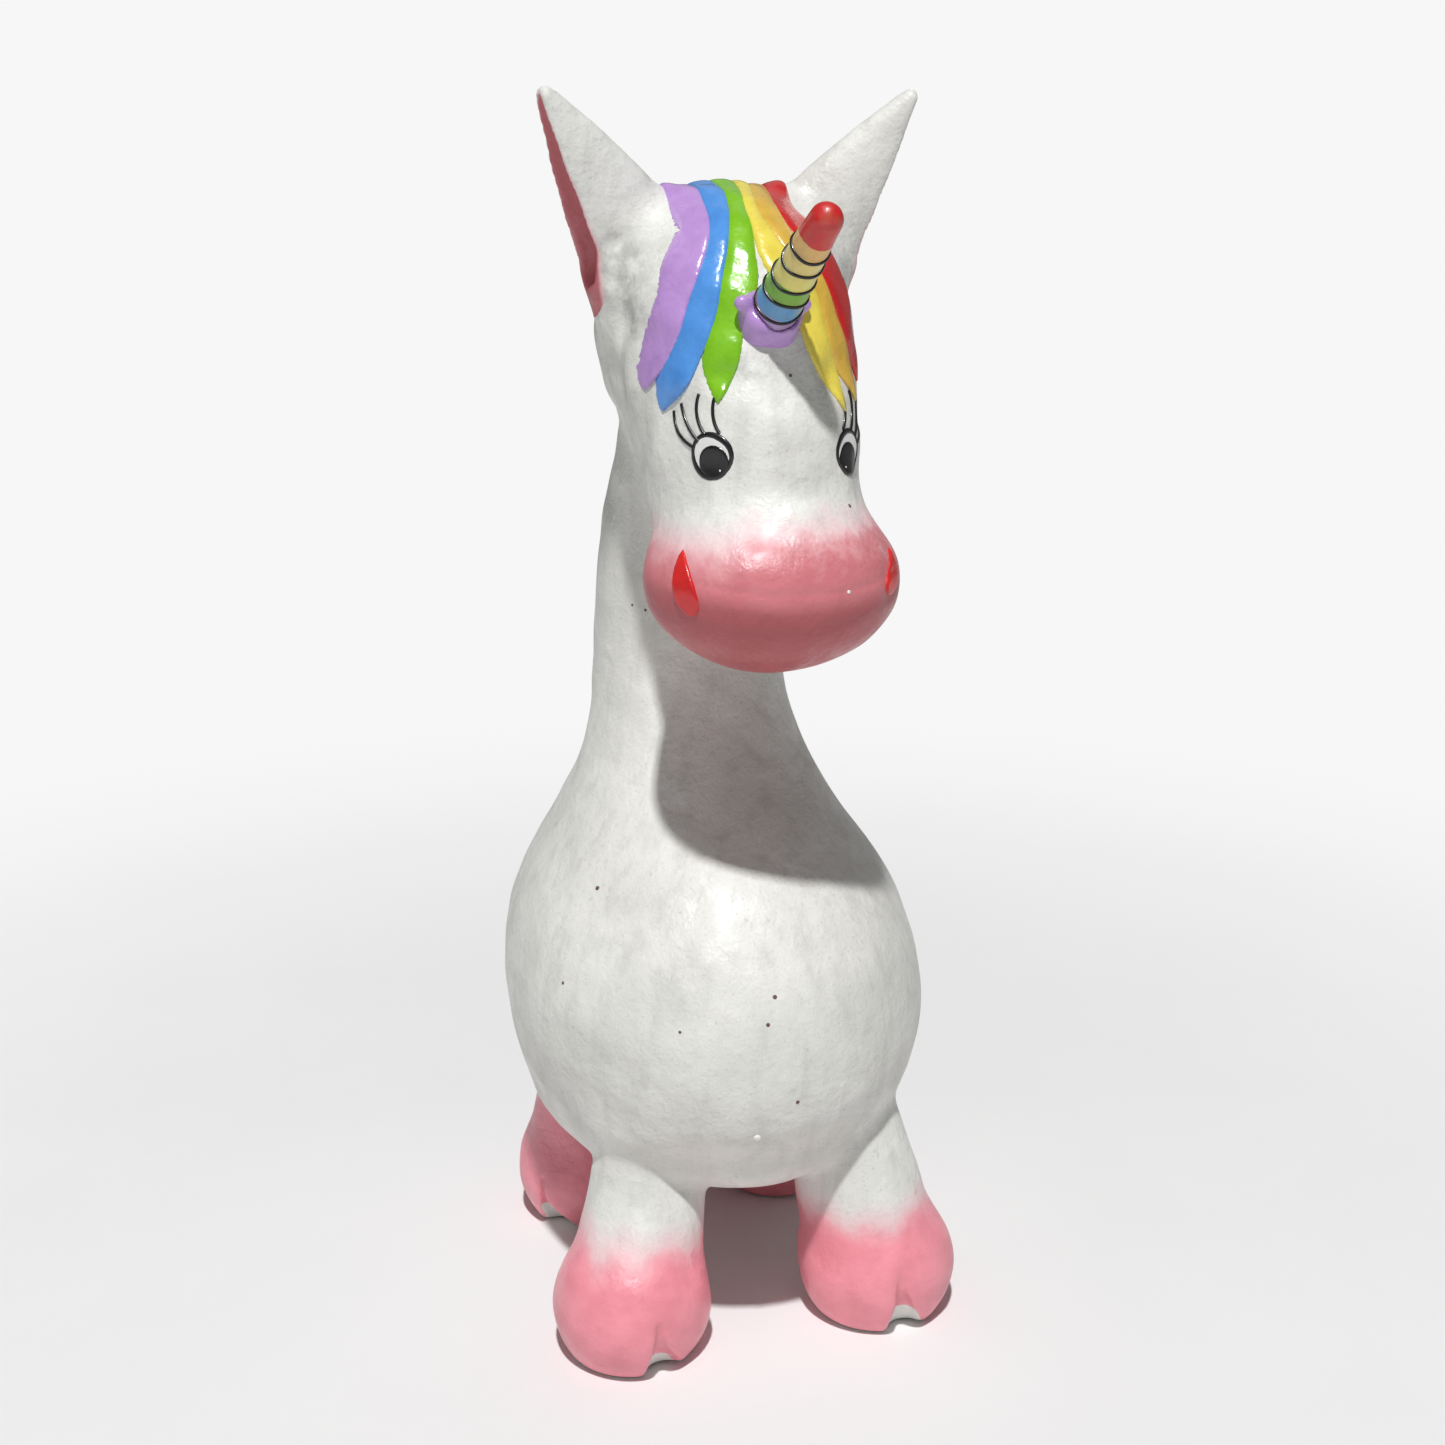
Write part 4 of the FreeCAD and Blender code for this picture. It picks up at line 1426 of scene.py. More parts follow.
@dataclass
class PaintedFace:
    """Eyes with their lashes and a painted highlight, and the nostrils: thin shapes of thick paint on the skin."""

    figure: Figure
    black: bpy.types.Material
    white: bpy.types.Material
    red: bpy.types.Material
    eye_centre: Point = (-16.3, -48.1, 223.6)
    eye_normal: Point = (-0.70, -0.71, 0.05)
    left_eye_centre: Point = (-15.4, -48.8, 223.2)
    left_eye_normal: Point = (-0.34, -0.94, 0.05)
    eye_middle: tuple[float, float] = (-0.25, -0.05)
    eye_radii: tuple[float, float] = (5.3, 5.2)
    line: float = 1.2
    iris_middle: tuple[float, float] = (0.4, -1.45)
    iris_radius: float = 3.75
    # Where the painted highlight on the iris sits, and its size.
    glint_middle: tuple[float, float] = (2.1, -3.1)
    glint_radius: float = 0.42
    nostril_centre: Point = (-24.8, -55.3, 197.0)
    nostril_normal: Point = (-0.72, -0.69, 0.0)
    left_nostril_centre: Point = (-22.4, -57.6, 197.4)
    left_nostril_normal: Point = (-0.60, -0.80, 0.0)
    nostril_length: float = 6.9
    nostril_half_width: float = 3.3
    nostril_lean: float = 4.2
    lashes: tuple[tuple[tuple[float, float], ...], ...] = (
        ((-4.9, 1.5), (-9.7, 4.5), (-11.7, 8.8)),
        ((-3.5, 2.9), (-7.2, 6.6), (-9.3, 10.6)),
        ((-2.0, 4.5), (-4.6, 8.6), (-4.4, 13.0)),
        ((1.6, 4.9), (-0.4, 8.3), (-0.5, 12.3)),
    )
    lash_radius: float = 0.44
    lash_rounds: int = 6

    def film(self, name: str, board: Board, drawing: Drawing, height: float, reach: float,
             material: bpy.types.Material) -> None:
        """Lay one shape of paint on the skin.

        Args:
            name: The piece's name.
            board: Where it is drawn.
            drawing: How far inside the shape each point of the board is.
            height: Thickness of the paint.
            reach: Half the size of the box that holds it.
            material: Its finish.
        """

        def layer(x: Array, y: Array, z: Array) -> Array:
            """Distances to the paint."""
            along, up, out = board.drawn(x, y, z)
            inside = np.minimum(drawing(along, up), reach - np.abs(out))
            share = np.clip(inside / 0.5, 0, 1)
            rise = height * np.sqrt(share * (2 - share)) + np.minimum(inside, 0)
            gap = self.figure.field(x, y, z)
            return np.maximum(gap - rise, -(gap + 0.5))

        middle = board.point(0, 0)
        surface = skin(layer, tuple(middle - reach), tuple(middle + reach), FILM_PITCH)
        make_piece(name, surface, material)

    def left_nostril(self, along: Array, up: Array) -> Array:
        """How far inside the animal's left nostril, which is shorter, each point is."""
        return self.nostril(along / 1.05, up / 0.7) * 0.8

    def nostril(self, along: Array, up: Array) -> Array:
        """A drop: pointed at the top, round at the bottom, leaning towards the face's middle."""
        height = np.clip((up + self.nostril_length) / (2 * self.nostril_length), 0, 1)
        lean = self.nostril_lean * (0.4 - height)
        width = self.nostril_half_width * np.interp(
            height, (0, 0.05, 0.14, 0.3, 0.5, 0.75, 0.92, 1), (0, 0.5, 0.84, 1, 0.93, 0.6, 0.28, 0)
        )
        beyond = np.minimum(up + self.nostril_length, self.nostril_length - up)
        return np.minimum(width - np.abs(along - lean), beyond)

    def eye_line(self, along: Array, up: Array) -> Array:
        """The brushed ring round an eye."""
        turn = np.arctan2(up, along)
        edge = oval(along, up, self.eye_middle, self.eye_radii) + 0.12 * np.sin(3 * turn + 1)
        line = self.line * (1 + 0.18 * np.sin(2 * turn - 0.6))
        return np.minimum(edge, line - edge)

    def build(self) -> None:
        """Paint both sides of the face."""
        for side in Side:
            if side is Side.LEFT:
                eye = Board(self.left_eye_centre, self.left_eye_normal, side)
            else:
                eye = Board(self.eye_centre, self.eye_normal, side)
            word = side.word
            self.film(f"eye_{word}_white", eye,
                      lambda a, u: oval(a, u, self.eye_middle, self.eye_radii) - 0.5 * self.line,
                      0.12, 9.0, self.white)
            self.film(f"eye_{word}_line", eye, self.eye_line, 0.28, 9.0, self.black)
            self.film(f"eye_{word}_iris", eye,
                      lambda a, u: oval(a, u, self.iris_middle, (self.iris_radius, self.iris_radius)),
                      0.30, 8.0, self.black)
            # The glint is a painted highlight: a white dot of paint that stands for a reflection in the iris.
            self.film(f"eye_{word}_glint", eye,
                      lambda a, u: oval(a, u, self.glint_middle, (self.glint_radius, self.glint_radius)),
                      0.42, 6.0, self.white)
            if side is Side.LEFT:
                nose, nostril = Board(self.left_nostril_centre, self.left_nostril_normal, side), self.left_nostril
            else:
                nose, nostril = Board(self.nostril_centre, self.nostril_normal, side), self.nostril
            self.film(f"nostril_{word}", nose, nostril, 0.5, 10.0, self.red)
            self.lash_fringe(eye, word)

    def on_skin(self, spots: Array, out: Array) -> Array:
        """Drop points onto the skin along a direction."""
        for _ in range(6):
            spots = spots - self.figure.field(*spots.T)[:, None] * out
        return spots

    def lash_fringe(self, board: Board, word: str) -> None:
        """Brush the lashes of one eye.

        Args:
            board: The eye's board.
            word: The side's name.
        """
        curve = bpy.data.curves.new(f"lash_lines_{word}", "CURVE")
        curve.dimensions = "3D"
        out = board.axes()[2] * np.array((-board.side.value, 1, 1))
        for stroke in self.lashes:
            places = np.array(stroke)
            share = np.linspace(0, 1, 12)[:, None]
            drawn = (1 - share) ** 2 * places[0] + 2 * share * (1 - share) * (2 * places[1] - places[[0, 2]].mean(0))
            drawn = drawn + share**2 * places[2]
            spots = np.array([board.point(along, up) for along, up in drawn])
            spots = to_metres(self.on_skin(spots, out))
            spline = curve.splines.new("POLY")
            spline.points.add(len(spots) - 1)
            for point, spot, step in zip(spline.points, spots, share[:, 0]):
                point.co = (*spot, 1)
                point.radius = 0.35 + 0.75 * math.sin(math.pi * (0.12 + 0.80 * step)) * (1 - 0.35 * step)
        lines = bpy.data.objects.new(curve.name, curve)
        bpy.context.scene.collection.objects.link(lines)
        tree = brush_tree()
        piece = run_tree(f"lashes_{word}", tree, lines, {
            "Radius": self.lash_radius * MM, "Rounds": self.lash_rounds, "Paint": self.black,
        })
        dress(piece, FIGURE)


# ---------------------------------------------------------------- sub-assemblies: horn


@dataclass
class Horn:
    """The banded horn, the lumpy collar at its root and the brushed rings between the bands."""

    figure: Figure
    finish: bpy.types.Material
    collar_finish: bpy.types.Material
    black: bpy.types.Material
    root: Point = (-1.4, -43, 252)
    tip: Point = (2.2, -71.3, 276.3)
    root_radius: float = 5.8
    tip_radius: float = 4.0
    start: float = -4.0
    collar_low: float = 7.9
    collar_high: float = 6.4
    collar_top: float = 4.7
    rings: tuple[float, ...] = (6.2, 10.5, 15.5, 20.8, 25.0)
    ring_width: float = 0.42
    ring_wave: float = 0.42

    def __post_init__(self) -> None:
        """Work out the horn's own directions."""
        axis = np.subtract(self.tip, self.root)
        self.length = float(np.linalg.norm(axis))
        self.axis = axis / self.length
        self.across = np.array((1.0, 0.0, 0.0))
        self.up = np.cross(self.axis, self.across)

    def along(self, x: Array, y: Array, z: Array) -> tuple[Array, Array, Array]:
        """Distance along the horn from its root, and the two distances from its axis."""
        dx, dy, dz = x - self.root[0], y - self.root[1], z - self.root[2]
        return tuple(dx * axis[0] + dy * axis[1] + dz * axis[2] for axis in (self.axis, self.across, self.up))

    def horn_field(self, x: Array, y: Array, z: Array) -> Array:
        """Distances to the horn: a slow taper with a rounded tip."""
        rounding = self.tip_radius * 0.9
        end = self.length - rounding
        tip = tuple(np.array(self.root) + self.axis * end)
        foot = tuple(np.array(self.root) + self.axis * self.start)
        form = tapered_rod(x, y, z, foot, tip, self.root_radius, rounding)
        height = self.along(x, y, z)[0]
        form = np.maximum(form, self.start - height)
        return form + 0.12 * ripple(x, y, z, 8, SEED + 3)

    def collar_field(self, x: Array, y: Array, z: Array) -> Array:
        """Distances to the collar: a squashed roll of pulp, thicker at its sides."""
        height, across, up = self.along(x, y, z)
        share = np.clip((height - self.start) / (self.collar_top - self.start), 0, 1)
        radius = self.collar_low + (self.collar_high - self.collar_low) * share
        turn = np.arctan2(up, across)
        radius = radius + 0.35 * np.cos(2 * turn) + 0.25 * np.sin(5 * turn + 0.8)
        gap = np.sqrt(across**2 + up**2)
        middle = (self.start + self.collar_top) / 2
        half = (self.collar_top - self.start) / 2
        form = -melt(-(gap - radius), -(np.abs(height - middle) - half), 2.6)
        for spot in ((7.0, 1.2, 4.2), (-7.0, 1.0, 4.0)):
            bump = ellipsoid(across, up, height, (spot[0], spot[1], spot[2]), (2.0, 1.7, 1.9))
            form = melt(form, bump, 1.2)
        bore = self.horn_field(x, y, z)
        return -melt(-form, bore - 0.05, 0.4)

    def build(self) -> None:
        """Make the horn, its collar and its rings."""
        low, high = tuple(np.minimum(self.root, self.tip) - 12), tuple(np.maximum(self.root, self.tip) + 12)
        surface = skin(self.horn_field, low, high, 0.5)
        piece = make_piece("horn_core", surface, self.finish, FIGURE, ("horn",))
        layer = piece.data.attributes.new("along_horn", "FLOAT", "POINT")
        layer.data.foreach_set("value", self.along(*surface.points.T)[0].astype(np.float32))
        surface = skin(self.collar_field, low, high, 0.5)
        make_piece("horn_collar_roll", surface, self.collar_finish, FIGURE, ("horn_collar",))
        self.brush_rings()

    def brush_rings(self) -> None:
        """Lay the brushed rings round the horn."""
        lines = bpy.data.curves.new("horn_rings", "CURVE")
        lines.dimensions = "3D"
        draw = np.random.default_rng(SEED + 4)
        steps = 48
        for height in self.rings:
            phase, share = draw.uniform(0, 2 * math.pi, 2), height / self.length
            radius = self.root_radius + (self.tip_radius - self.root_radius) * share
            spline = lines.splines.new("POLY")
            spline.points.add(steps - 1)
            spline.use_cyclic_u = True
            for step, point in enumerate(spline.points):
                turn = 2 * math.pi * step / steps
                lift = height + self.ring_wave * (math.sin(turn + phase[0]) + 0.35 * math.sin(3 * turn + phase[1]))
                out = math.cos(turn) * self.across + math.sin(turn) * self.up
                spot = np.array(self.root) + self.axis * lift
                for _ in range(1):
                    edge = spot + out * radius
                    gap = float(self.horn_field(*[np.array([value]) for value in edge])[0])
                    edge = edge - out * gap
                point.co = (*to_metres(edge), 1)
                point.radius = 1 + 0.28 * math.sin(2 * turn + phase[1])
        owner = bpy.data.objects.new("horn_rings", lines)
        bpy.context.scene.collection.objects.link(owner)
        piece = run_tree("horn_ring_lines", brush_tree(), owner, {
            "Radius": self.ring_width * MM, "Rounds": 8, "Paint": self.black,
        })
        dress(piece, FIGURE)


# ---------------------------------------------------------------- sub-assemblies: small marks


@dataclass
class Marks:
    """Pinholes and paint beads that the moulding and the brush left on the skin, and a white bead on the muzzle that is
    a painted highlight.
    """

    figure: Figure
    hole_finish: bpy.types.Material
    bead_finish: bpy.types.Material
    holes: tuple[tuple[Point, float], ...] = (
        ((-35.7, -16.3, 114.4), 0.6),
        ((-46.1, -22.1, 93.1), 0.45),
        ((-3.0, -54.7, 97.2), 0.55),
        ((-5.5, -57.1, 91.5), 0.5),
        ((1.2, -59.7, 71.8), 0.5),
        ((-24.9, -50.4, 89.5), 0.4),
        ((-4.3, -46.0, 248.2), 0.45),
        ((1.4, -49.5, 240.6), 0.4),
        ((13.9, -53.6, 211.9), 0.5),
        ((-18.4, 11.3, 178.0), 0.35),
        ((-15.8, 8.5, 177.1), 0.4),
    )
    # The larger bead is a bead of white paint on the chest; the small one on the muzzle is a painted highlight.
    beads: tuple[tuple[Point, float], ...] = (((-7.9, -56.6, 62.8), 1.0), ((9.3, -66.6, 195.5), 0.45))

    def settled(self, spots: Sequence[Point]) -> tuple[Array, Array]:
        """Places brought onto the skin, with the way out of it."""
        points = np.array(spots, float)
        for _ in range(8):
            values, slopes = gradient(self.figure.field, points)
            points = points - values[:, None] * unit(slopes)
        return points, unit(slopes)

    def build(self) -> None:
        """Set the marks in the skin."""
        for name, marks, material, sink in (
            ("pinholes", self.holes, self.hole_finish, -0.02),
            ("paint_beads", self.beads, self.bead_finish, 0.05),
        ):
            points, out = self.settled([spot for spot, _ in marks])
            mesh = bpy.data.meshes.new(f"{name}_places")
            mesh.from_pydata(to_metres(points + out * sink).tolist(), [], [])
            layer = mesh.attributes.new("out", "FLOAT_VECTOR", "POINT")
            layer.data.foreach_set("vector", out.astype(np.float32).ravel())
            layer = mesh.attributes.new("size", "FLOAT", "POINT")
            layer.data.foreach_set("value", np.array([size * MM for _, size in marks], np.float32))
            owner = bpy.data.objects.new(f"{name}_places", mesh)
            bpy.context.scene.collection.objects.link(owner)
            piece = run_tree(name, bead_tree(), owner, {"Flatness": 0.45, "Paint": material})
            dress(piece, FIGURE)


# ---------------------------------------------------------------- geometry node trees


def new_tree(name: str, inputs: Sequence[tuple[str, str]]) -> tuple[bpy.types.NodeTree, dict[str, bpy.types.Node]]:
    """Start a geometry tree with named inputs.

    Args:
        name: The tree's name.
        inputs: Each further input's name and socket kind.

    Returns:
        The tree, and its input and output nodes.
    """
    tree = bpy.data.node_groups.new(name, "GeometryNodeTree")
    tree.interface.new_socket("Geometry", in_out="INPUT", socket_type="NodeSocketGeometry")
    for label, kind in inputs:
        tree.interface.new_socket(label, in_out="INPUT", socket_type=kind)
    tree.interface.new_socket("Geometry", in_out="OUTPUT", socket_type="NodeSocketGeometry")
    ends = {"in": tree.nodes.new("NodeGroupInput"), "out": tree.nodes.new("NodeGroupOutput")}
    return tree, ends


def close_tree(tree: bpy.types.NodeTree, ends: dict[str, bpy.types.Node], shape: bpy.types.NodeSocket) -> None:
    """End a tree in real geometry with its paint on."""
    real = tree.nodes.new("GeometryNodeRealizeInstances")
    painted = tree.nodes.new("GeometryNodeSetMaterial")
    tree.links.new(shape, real.inputs["Geometry"])
    tree.links.new(real.outputs["Geometry"], painted.inputs["Geometry"])
    tree.links.new(ends["in"].outputs["Paint"], painted.inputs["Material"])
    tree.links.new(painted.outputs["Geometry"], ends["out"].inputs["Geometry"])


def brush_tree() -> bpy.types.NodeTree:
    """A tree that turns lines into brushed strokes of paint, as thick as each line's own radius says."""
    kinds = (("Radius", "NodeSocketFloat"), ("Rounds", "NodeSocketInt"), ("Paint", "NodeSocketMaterial"))
    tree, ends = new_tree("brush_stroke", kinds)
    profile = tree.nodes.new("GeometryNodeCurvePrimitiveCircle")
    sweep = tree.nodes.new("GeometryNodeCurveToMesh")
    sweep.inputs["Fill Caps"].default_value = True
    tree.links.new(ends["in"].outputs["Radius"], profile.inputs["Radius"])
    tree.links.new(ends["in"].outputs["Rounds"], profile.inputs["Resolution"])
    tree.links.new(ends["in"].outputs["Geometry"], sweep.inputs["Curve"])
    tree.links.new(profile.outputs["Curve"], sweep.inputs["Profile Curve"])
    smooth = tree.nodes.new("GeometryNodeSetShadeSmooth")
    tree.links.new(sweep.outputs["Mesh"], smooth.inputs["Geometry"])
    close_tree(tree, ends, smooth.outputs["Geometry"])
    return tree


def bead_tree() -> bpy.types.NodeTree:
    """A tree that sets a flattened bead on each point, as large as the point's size says."""
    kinds = (("Flatness", "NodeSocketFloat"), ("Paint", "NodeSocketMaterial"))
    tree, ends = new_tree("flat_beads", kinds)
    bead = tree.nodes.new("GeometryNodeMeshIcoSphere")
    bead.inputs["Radius"].default_value = 1.0
    bead.inputs["Subdivisions"].default_value = 2
    smooth = tree.nodes.new("GeometryNodeSetShadeSmooth")
    tree.links.new(bead.outputs["Mesh"], smooth.inputs["Geometry"])
    flatten = tree.nodes.new("ShaderNodeCombineXYZ")
    flatten.inputs["X"].default_value = 1.0
    flatten.inputs["Y"].default_value = 1.0
    tree.links.new(ends["in"].outputs["Flatness"], flatten.inputs["Z"])
    size = tree.nodes.new("GeometryNodeInputNamedAttribute")
    size.data_type = "FLOAT"
    size.inputs["Name"].default_value = "size"
    grown = tree.nodes.new("ShaderNodeVectorMath")
    grown.operation = "SCALE"
    tree.links.new(flatten.outputs["Vector"], grown.inputs[0])
    tree.links.new(size.outputs["Attribute"], grown.inputs["Scale"])
    out = tree.nodes.new("GeometryNodeInputNamedAttribute")
    out.data_type = "FLOAT_VECTOR"
    out.inputs["Name"].default_value = "out"
    turn = tree.nodes.new("FunctionNodeAlignRotationToVector")
    turn.axis = "Z"
    tree.links.new(out.outputs["Attribute"], turn.inputs["Vector"])
    place = tree.nodes.new("GeometryNodeInstanceOnPoints")
    tree.links.new(ends["in"].outputs["Geometry"], place.inputs["Points"])
    tree.links.new(smooth.outputs["Geometry"], place.inputs["Instance"])
    tree.links.new(turn.outputs["Rotation"], place.inputs["Rotation"])
    tree.links.new(grown.outputs["Vector"], place.inputs["Scale"])
    close_tree(tree, ends, place.outputs["Instances"])
    return tree


def run_tree(name: str, tree: bpy.types.NodeTree, owner: bpy.types.Object, values: dict[str, object]) -> bpy.types.Object:
    """Run a tree on an object and keep the result as a plain mesh.

    Args:
        name: The new piece's name.
        tree: The tree.
        owner: The object that the tree starts from; it is removed.
        values: The tree's inputs by name.

    Returns:
        The new piece.
    """
    modifier = owner.modifiers.new(tree.name, "NODES")
    modifier.node_group = tree
    for item in tree.interface.items_tree:
        if item.item_type == "SOCKET" and item.in_out == "INPUT" and item.name in values:
            modifier[item.identifier] = values[item.name]
    shown = bpy.context.evaluated_depsgraph_get()
    shown.update()
    mesh = bpy.data.meshes.new_from_object(owner.evaluated_get(shown), depsgraph=shown)
    mesh.name = name
    owner.modifiers.remove(modifier)
    bpy.data.objects.remove(owner)
    piece = bpy.data.objects.new(name, mesh)
    bpy.context.scene.collection.objects.link(piece)
    return piece


# ---------------------------------------------------------------- sub-assemblies: filler and inner parts


@dataclass
class Filler:
    """The plug that closes the filler hole, and the ribbon tab that pulls it out."""

    card: bpy.types.Material
    ribbon: bpy.types.Material
    radius: float = 10.7
    low: float = 31.96
    high: float = 38.46
    tab_length: float = 13.0
    tab_width: float = 7.0
    tab_rise: float = 1.0

    def plug_field(self, x: Array, y: Array, z: Array) -> Array:
        """Distances to the plug: a disc of pressed card with a soft edge and a thumb-worn middle."""
        gap = np.sqrt(x**2 + (y - FILLER_HOLE_Y) ** 2)
        middle, half = (self.low + self.high) / 2, (self.high - self.low) / 2
        side = gap - self.radius + 0.05 * np.cos(24 * np.arctan2(y - FILLER_HOLE_Y, x))
        form = -melt(-side, -(np.abs(z - middle) - half), 0.9)
        worn = 0.18 * (1 - smooth_step(gap, 2, 8)) * (z < middle)
        return form + worn

    def tab_field(self, x: Array, y: Array, z: Array) -> Array:
        """Distances to the tab: two layers of ribbon with a pinked end, pasted flat."""
        half = self.tab_width / 2
        end = self.tab_length / 2 - 0.5 * np.abs(((y - FILLER_HOLE_Y) * 1.1) % 2 - 1)
        side = np.maximum(np.abs(x) - end, np.abs(y - FILLER_HOLE_Y) - half)
        middle = self.low - self.tab_rise / 2
        layer = np.abs(z - middle + 0.08 * np.sin(x * 1.3)) - self.tab_rise / 2 + 0.1
        return -melt(-side, -layer, 0.35)

    def build(self) -> None:
        """Make the plug and its tab."""
        reach = self.radius + 1.5
        low = (-reach, FILLER_HOLE_Y - reach, self.low - 1.5)
        high = (reach, FILLER_HOLE_Y + reach, self.high + 1.5)
        surface = skin(self.plug_field, low, high, 0.4)
        make_piece("filler_plug_disc", surface, self.card, PLUG, ("filler_plug",))
        low = (-self.tab_length / 2 - 1, FILLER_HOLE_Y - self.tab_width / 2 - 1, self.low - self.tab_rise - 0.6)
        high = (self.tab_length / 2 + 1, FILLER_HOLE_Y + self.tab_width / 2 + 1, self.low + 0.6)
        surface = skin(self.tab_field, low, high, 0.2)
        make_piece("filler_tab_ribbon", surface, self.ribbon, PLUG, ("filler_tab",))


class Inside(Enum):
    """What the carried-over inner parts are made of."""

    CARD = ("neck_tube", "neck_ring_lower", "neck_ring_upper", "filler_ring")
    PAPER = ("body_seam_strip", "head_seam_strip")
    WOOD = ("horn_dowel", "front_right_leg_peg", "front_left_leg_peg", "rear_right_leg_peg", "rear_left_leg_peg")

    def dress(self, material: bpy.types.Material) -> None:
        """Give the parts their finish."""
        for name in self.value:
            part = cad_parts[name]
            for place in part.material_slots:
                place.material = material
            log.info("%s: finished as %s", name, material.name)


# ---------------------------------------------------------------- studio


@dataclass
class Studio:
    """Camera, floor, light and background."""

    distance: float = 485.0
    height: float = 287.0
    yaw: float = 17.7
    pitch: float = 15.9
    turn: float = -0.2
    focal_share: float = 2000 / 1445
    key_direction: Point = (-0.15, -0.4, 0.9)
    surround: float = 0.13
    backdrop: float = 0.93
    floor_near: float = 0.10
    floor_far: float = 0.55

    def camera(self) -> None:
        """Stand the camera where the figure is seen from its own right, slightly from above."""
        yaw, pitch = math.radians(self.yaw), math.radians(self.pitch)
        heading = -yaw + math.radians(self.turn)
        forward = np.array((-math.sin(heading) * math.cos(pitch), math.cos(heading) * math.cos(pitch), -math.sin(pitch)))
        right = np.array((math.cos(heading), math.sin(heading), 0.0))
        up = np.cross(right, forward)
        place = to_metres(np.array((-math.sin(yaw) * self.distance, -math.cos(yaw) * self.distance, self.height)))
        camera = bpy.data.cameras.new("camera")
        camera.sensor_width = 36
        camera.lens = 36 * self.focal_share
        camera.clip_start, camera.clip_end = 0.01, 50
        eye = bpy.data.objects.new("camera", camera)
        bpy.context.scene.collection.objects.link(eye)
        turned = Matrix((right, up, -forward)).transposed().to_4x4()
        eye.matrix_world = Matrix.Translation(Vector(place)) @ turned
        bpy.context.scene.camera = eye

    def floor(self) -> None:
        """Lay a plain pale floor that fades into the backdrop."""
        recipe = Recipe("floor")
        grain = recipe.noise(60, 2, seed=41)
        colour = recipe.mix(recipe.ramp(grain, 0.3, 0.7, 0.0, 0.5), (0.86, 0.86, 0.86, 1), (0.83, 0.83, 0.83, 1))
        recipe.set(Base_Color=colour, Roughness=0.85)
        away = recipe.node("ShaderNodeVectorMath", operation="LENGTH")
        recipe.link(recipe.place, away.inputs[0])
        far = recipe.ramp(away.outputs["Value"], self.floor_near, self.floor_far)
        seen = recipe.math("MULTIPLY", far, recipe.node("ShaderNodeLightPath").outputs["Is Camera Ray"])
        glow = recipe.node("ShaderNodeEmission")
        glow.inputs["Strength"].default_value = self.backdrop
        blend = recipe.node("ShaderNodeMixShader")
        recipe.link(seen, blend.inputs[0])
        recipe.link(recipe.shader.outputs[0], blend.inputs[1])
        recipe.link(glow.outputs[0], blend.inputs[2])
        recipe.link(blend.outputs[0], recipe.tree.nodes["Material Output"].inputs["Surface"])
        mesh = bpy.data.meshes.new("floor")
        reach = 6.0
        corners = [(-reach, -reach, 0), (reach, -reach, 0), (reach, reach, 0), (-reach, reach, 0)]
        mesh.from_pydata(corners, [], [(0, 1, 2, 3)])
        mesh.materials.append(recipe.material)
        plane = bpy.data.objects.new("floor", mesh)
        bpy.context.scene.collection.objects.link(plane)
        plane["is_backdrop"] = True

    def lamp(self, name: str, direction: Point, distance: float, size: float, power: float) -> None:
        """Hang a square lamp that looks at the middle of the figure."""
        light = bpy.data.lights.new(name, "AREA")
        light.size = size
        light.energy = power
        lamp = bpy.data.objects.new(name, light)
        bpy.context.scene.collection.objects.link(lamp)
        target = Vector((0, 0, 0.16))
        away = Vector(direction).normalized()
        lamp.location = target + away * distance
        lamp.rotation_mode = "QUATERNION"
        lamp.rotation_quaternion = away.to_track_quat("Z", "Y")

    def light(self) -> None:
        """One fairly small lamp from above in front, two large soft ones and a pale surround."""
        self.lamp("key", self.key_direction, 4.0, 0.16, 150.0)
        self.lamp("fill", (-0.8, -0.9, 0.7), 1.6, 1.4, 0.9)
        self.lamp("back", (0.5, 1.0, 0.9), 1.8, 1.2, 0.8)
        world = bpy.data.worlds.new("studio")
        bpy.context.scene.world = world
        world.use_nodes = True
        tree = world.node_tree
        background = tree.nodes["Background"]
        background.inputs["Color"].default_value = (1, 1, 1, 1)
        seen = tree.nodes.new("ShaderNodeLightPath")
        strength = tree.nodes.new("ShaderNodeMapRange")
        strength.inputs["To Min"].default_value = self.surround
        strength.inputs["To Max"].default_value = self.backdrop
        tree.links.new(seen.outputs["Is Camera Ray"], strength.inputs["Value"])
        tree.links.new(strength.outputs["Result"], background.inputs["Strength"])
        bpy.context.scene.view_settings.view_transform = "Standard"

    def build(self) -> None:
        """Set up the whole studio."""
        self.camera()
        self.floor()
        self.light()


# ---------------------------------------------------------------- assembly


LOCK_PAINTS = (
    GlossPaint("lilac_gloss", paint(192, 152, 216), paint(170, 128, 198)),
    GlossPaint("blue_gloss", paint(88, 156, 232), paint(64, 128, 206)),
    GlossPaint("green_gloss", paint(134, 200, 34), paint(108, 176, 20)),
    GlossPaint("yellow_gloss", paint(240, 222, 92), paint(222, 196, 62)),
    GlossPaint("gold_gloss", paint(224, 184, 76), paint(200, 156, 56)),
    GlossPaint("red_gloss", paint(206, 36, 36), paint(170, 20, 26)),
)
BLACK = GlossPaint("black_line", paint(26, 22, 26), paint(12, 10, 12), depth=0.05, roughness=0.3, flecks=0.0)
EYE_WHITE = GlossPaint("eye_white", paint(240, 240, 238), paint(222, 222, 220), depth=0.1, roughness=0.35, flecks=0.0)
NOSTRIL_RED = GlossPaint("nostril_red", paint(222, 44, 42), paint(170, 18, 24), depth=0.2, roughness=0.25, flecks=0.0)
PINHOLE = GlossPaint("pinhole", paint(112, 84, 76), paint(84, 52, 50), depth=0.1, roughness=0.7, flecks=0.0)
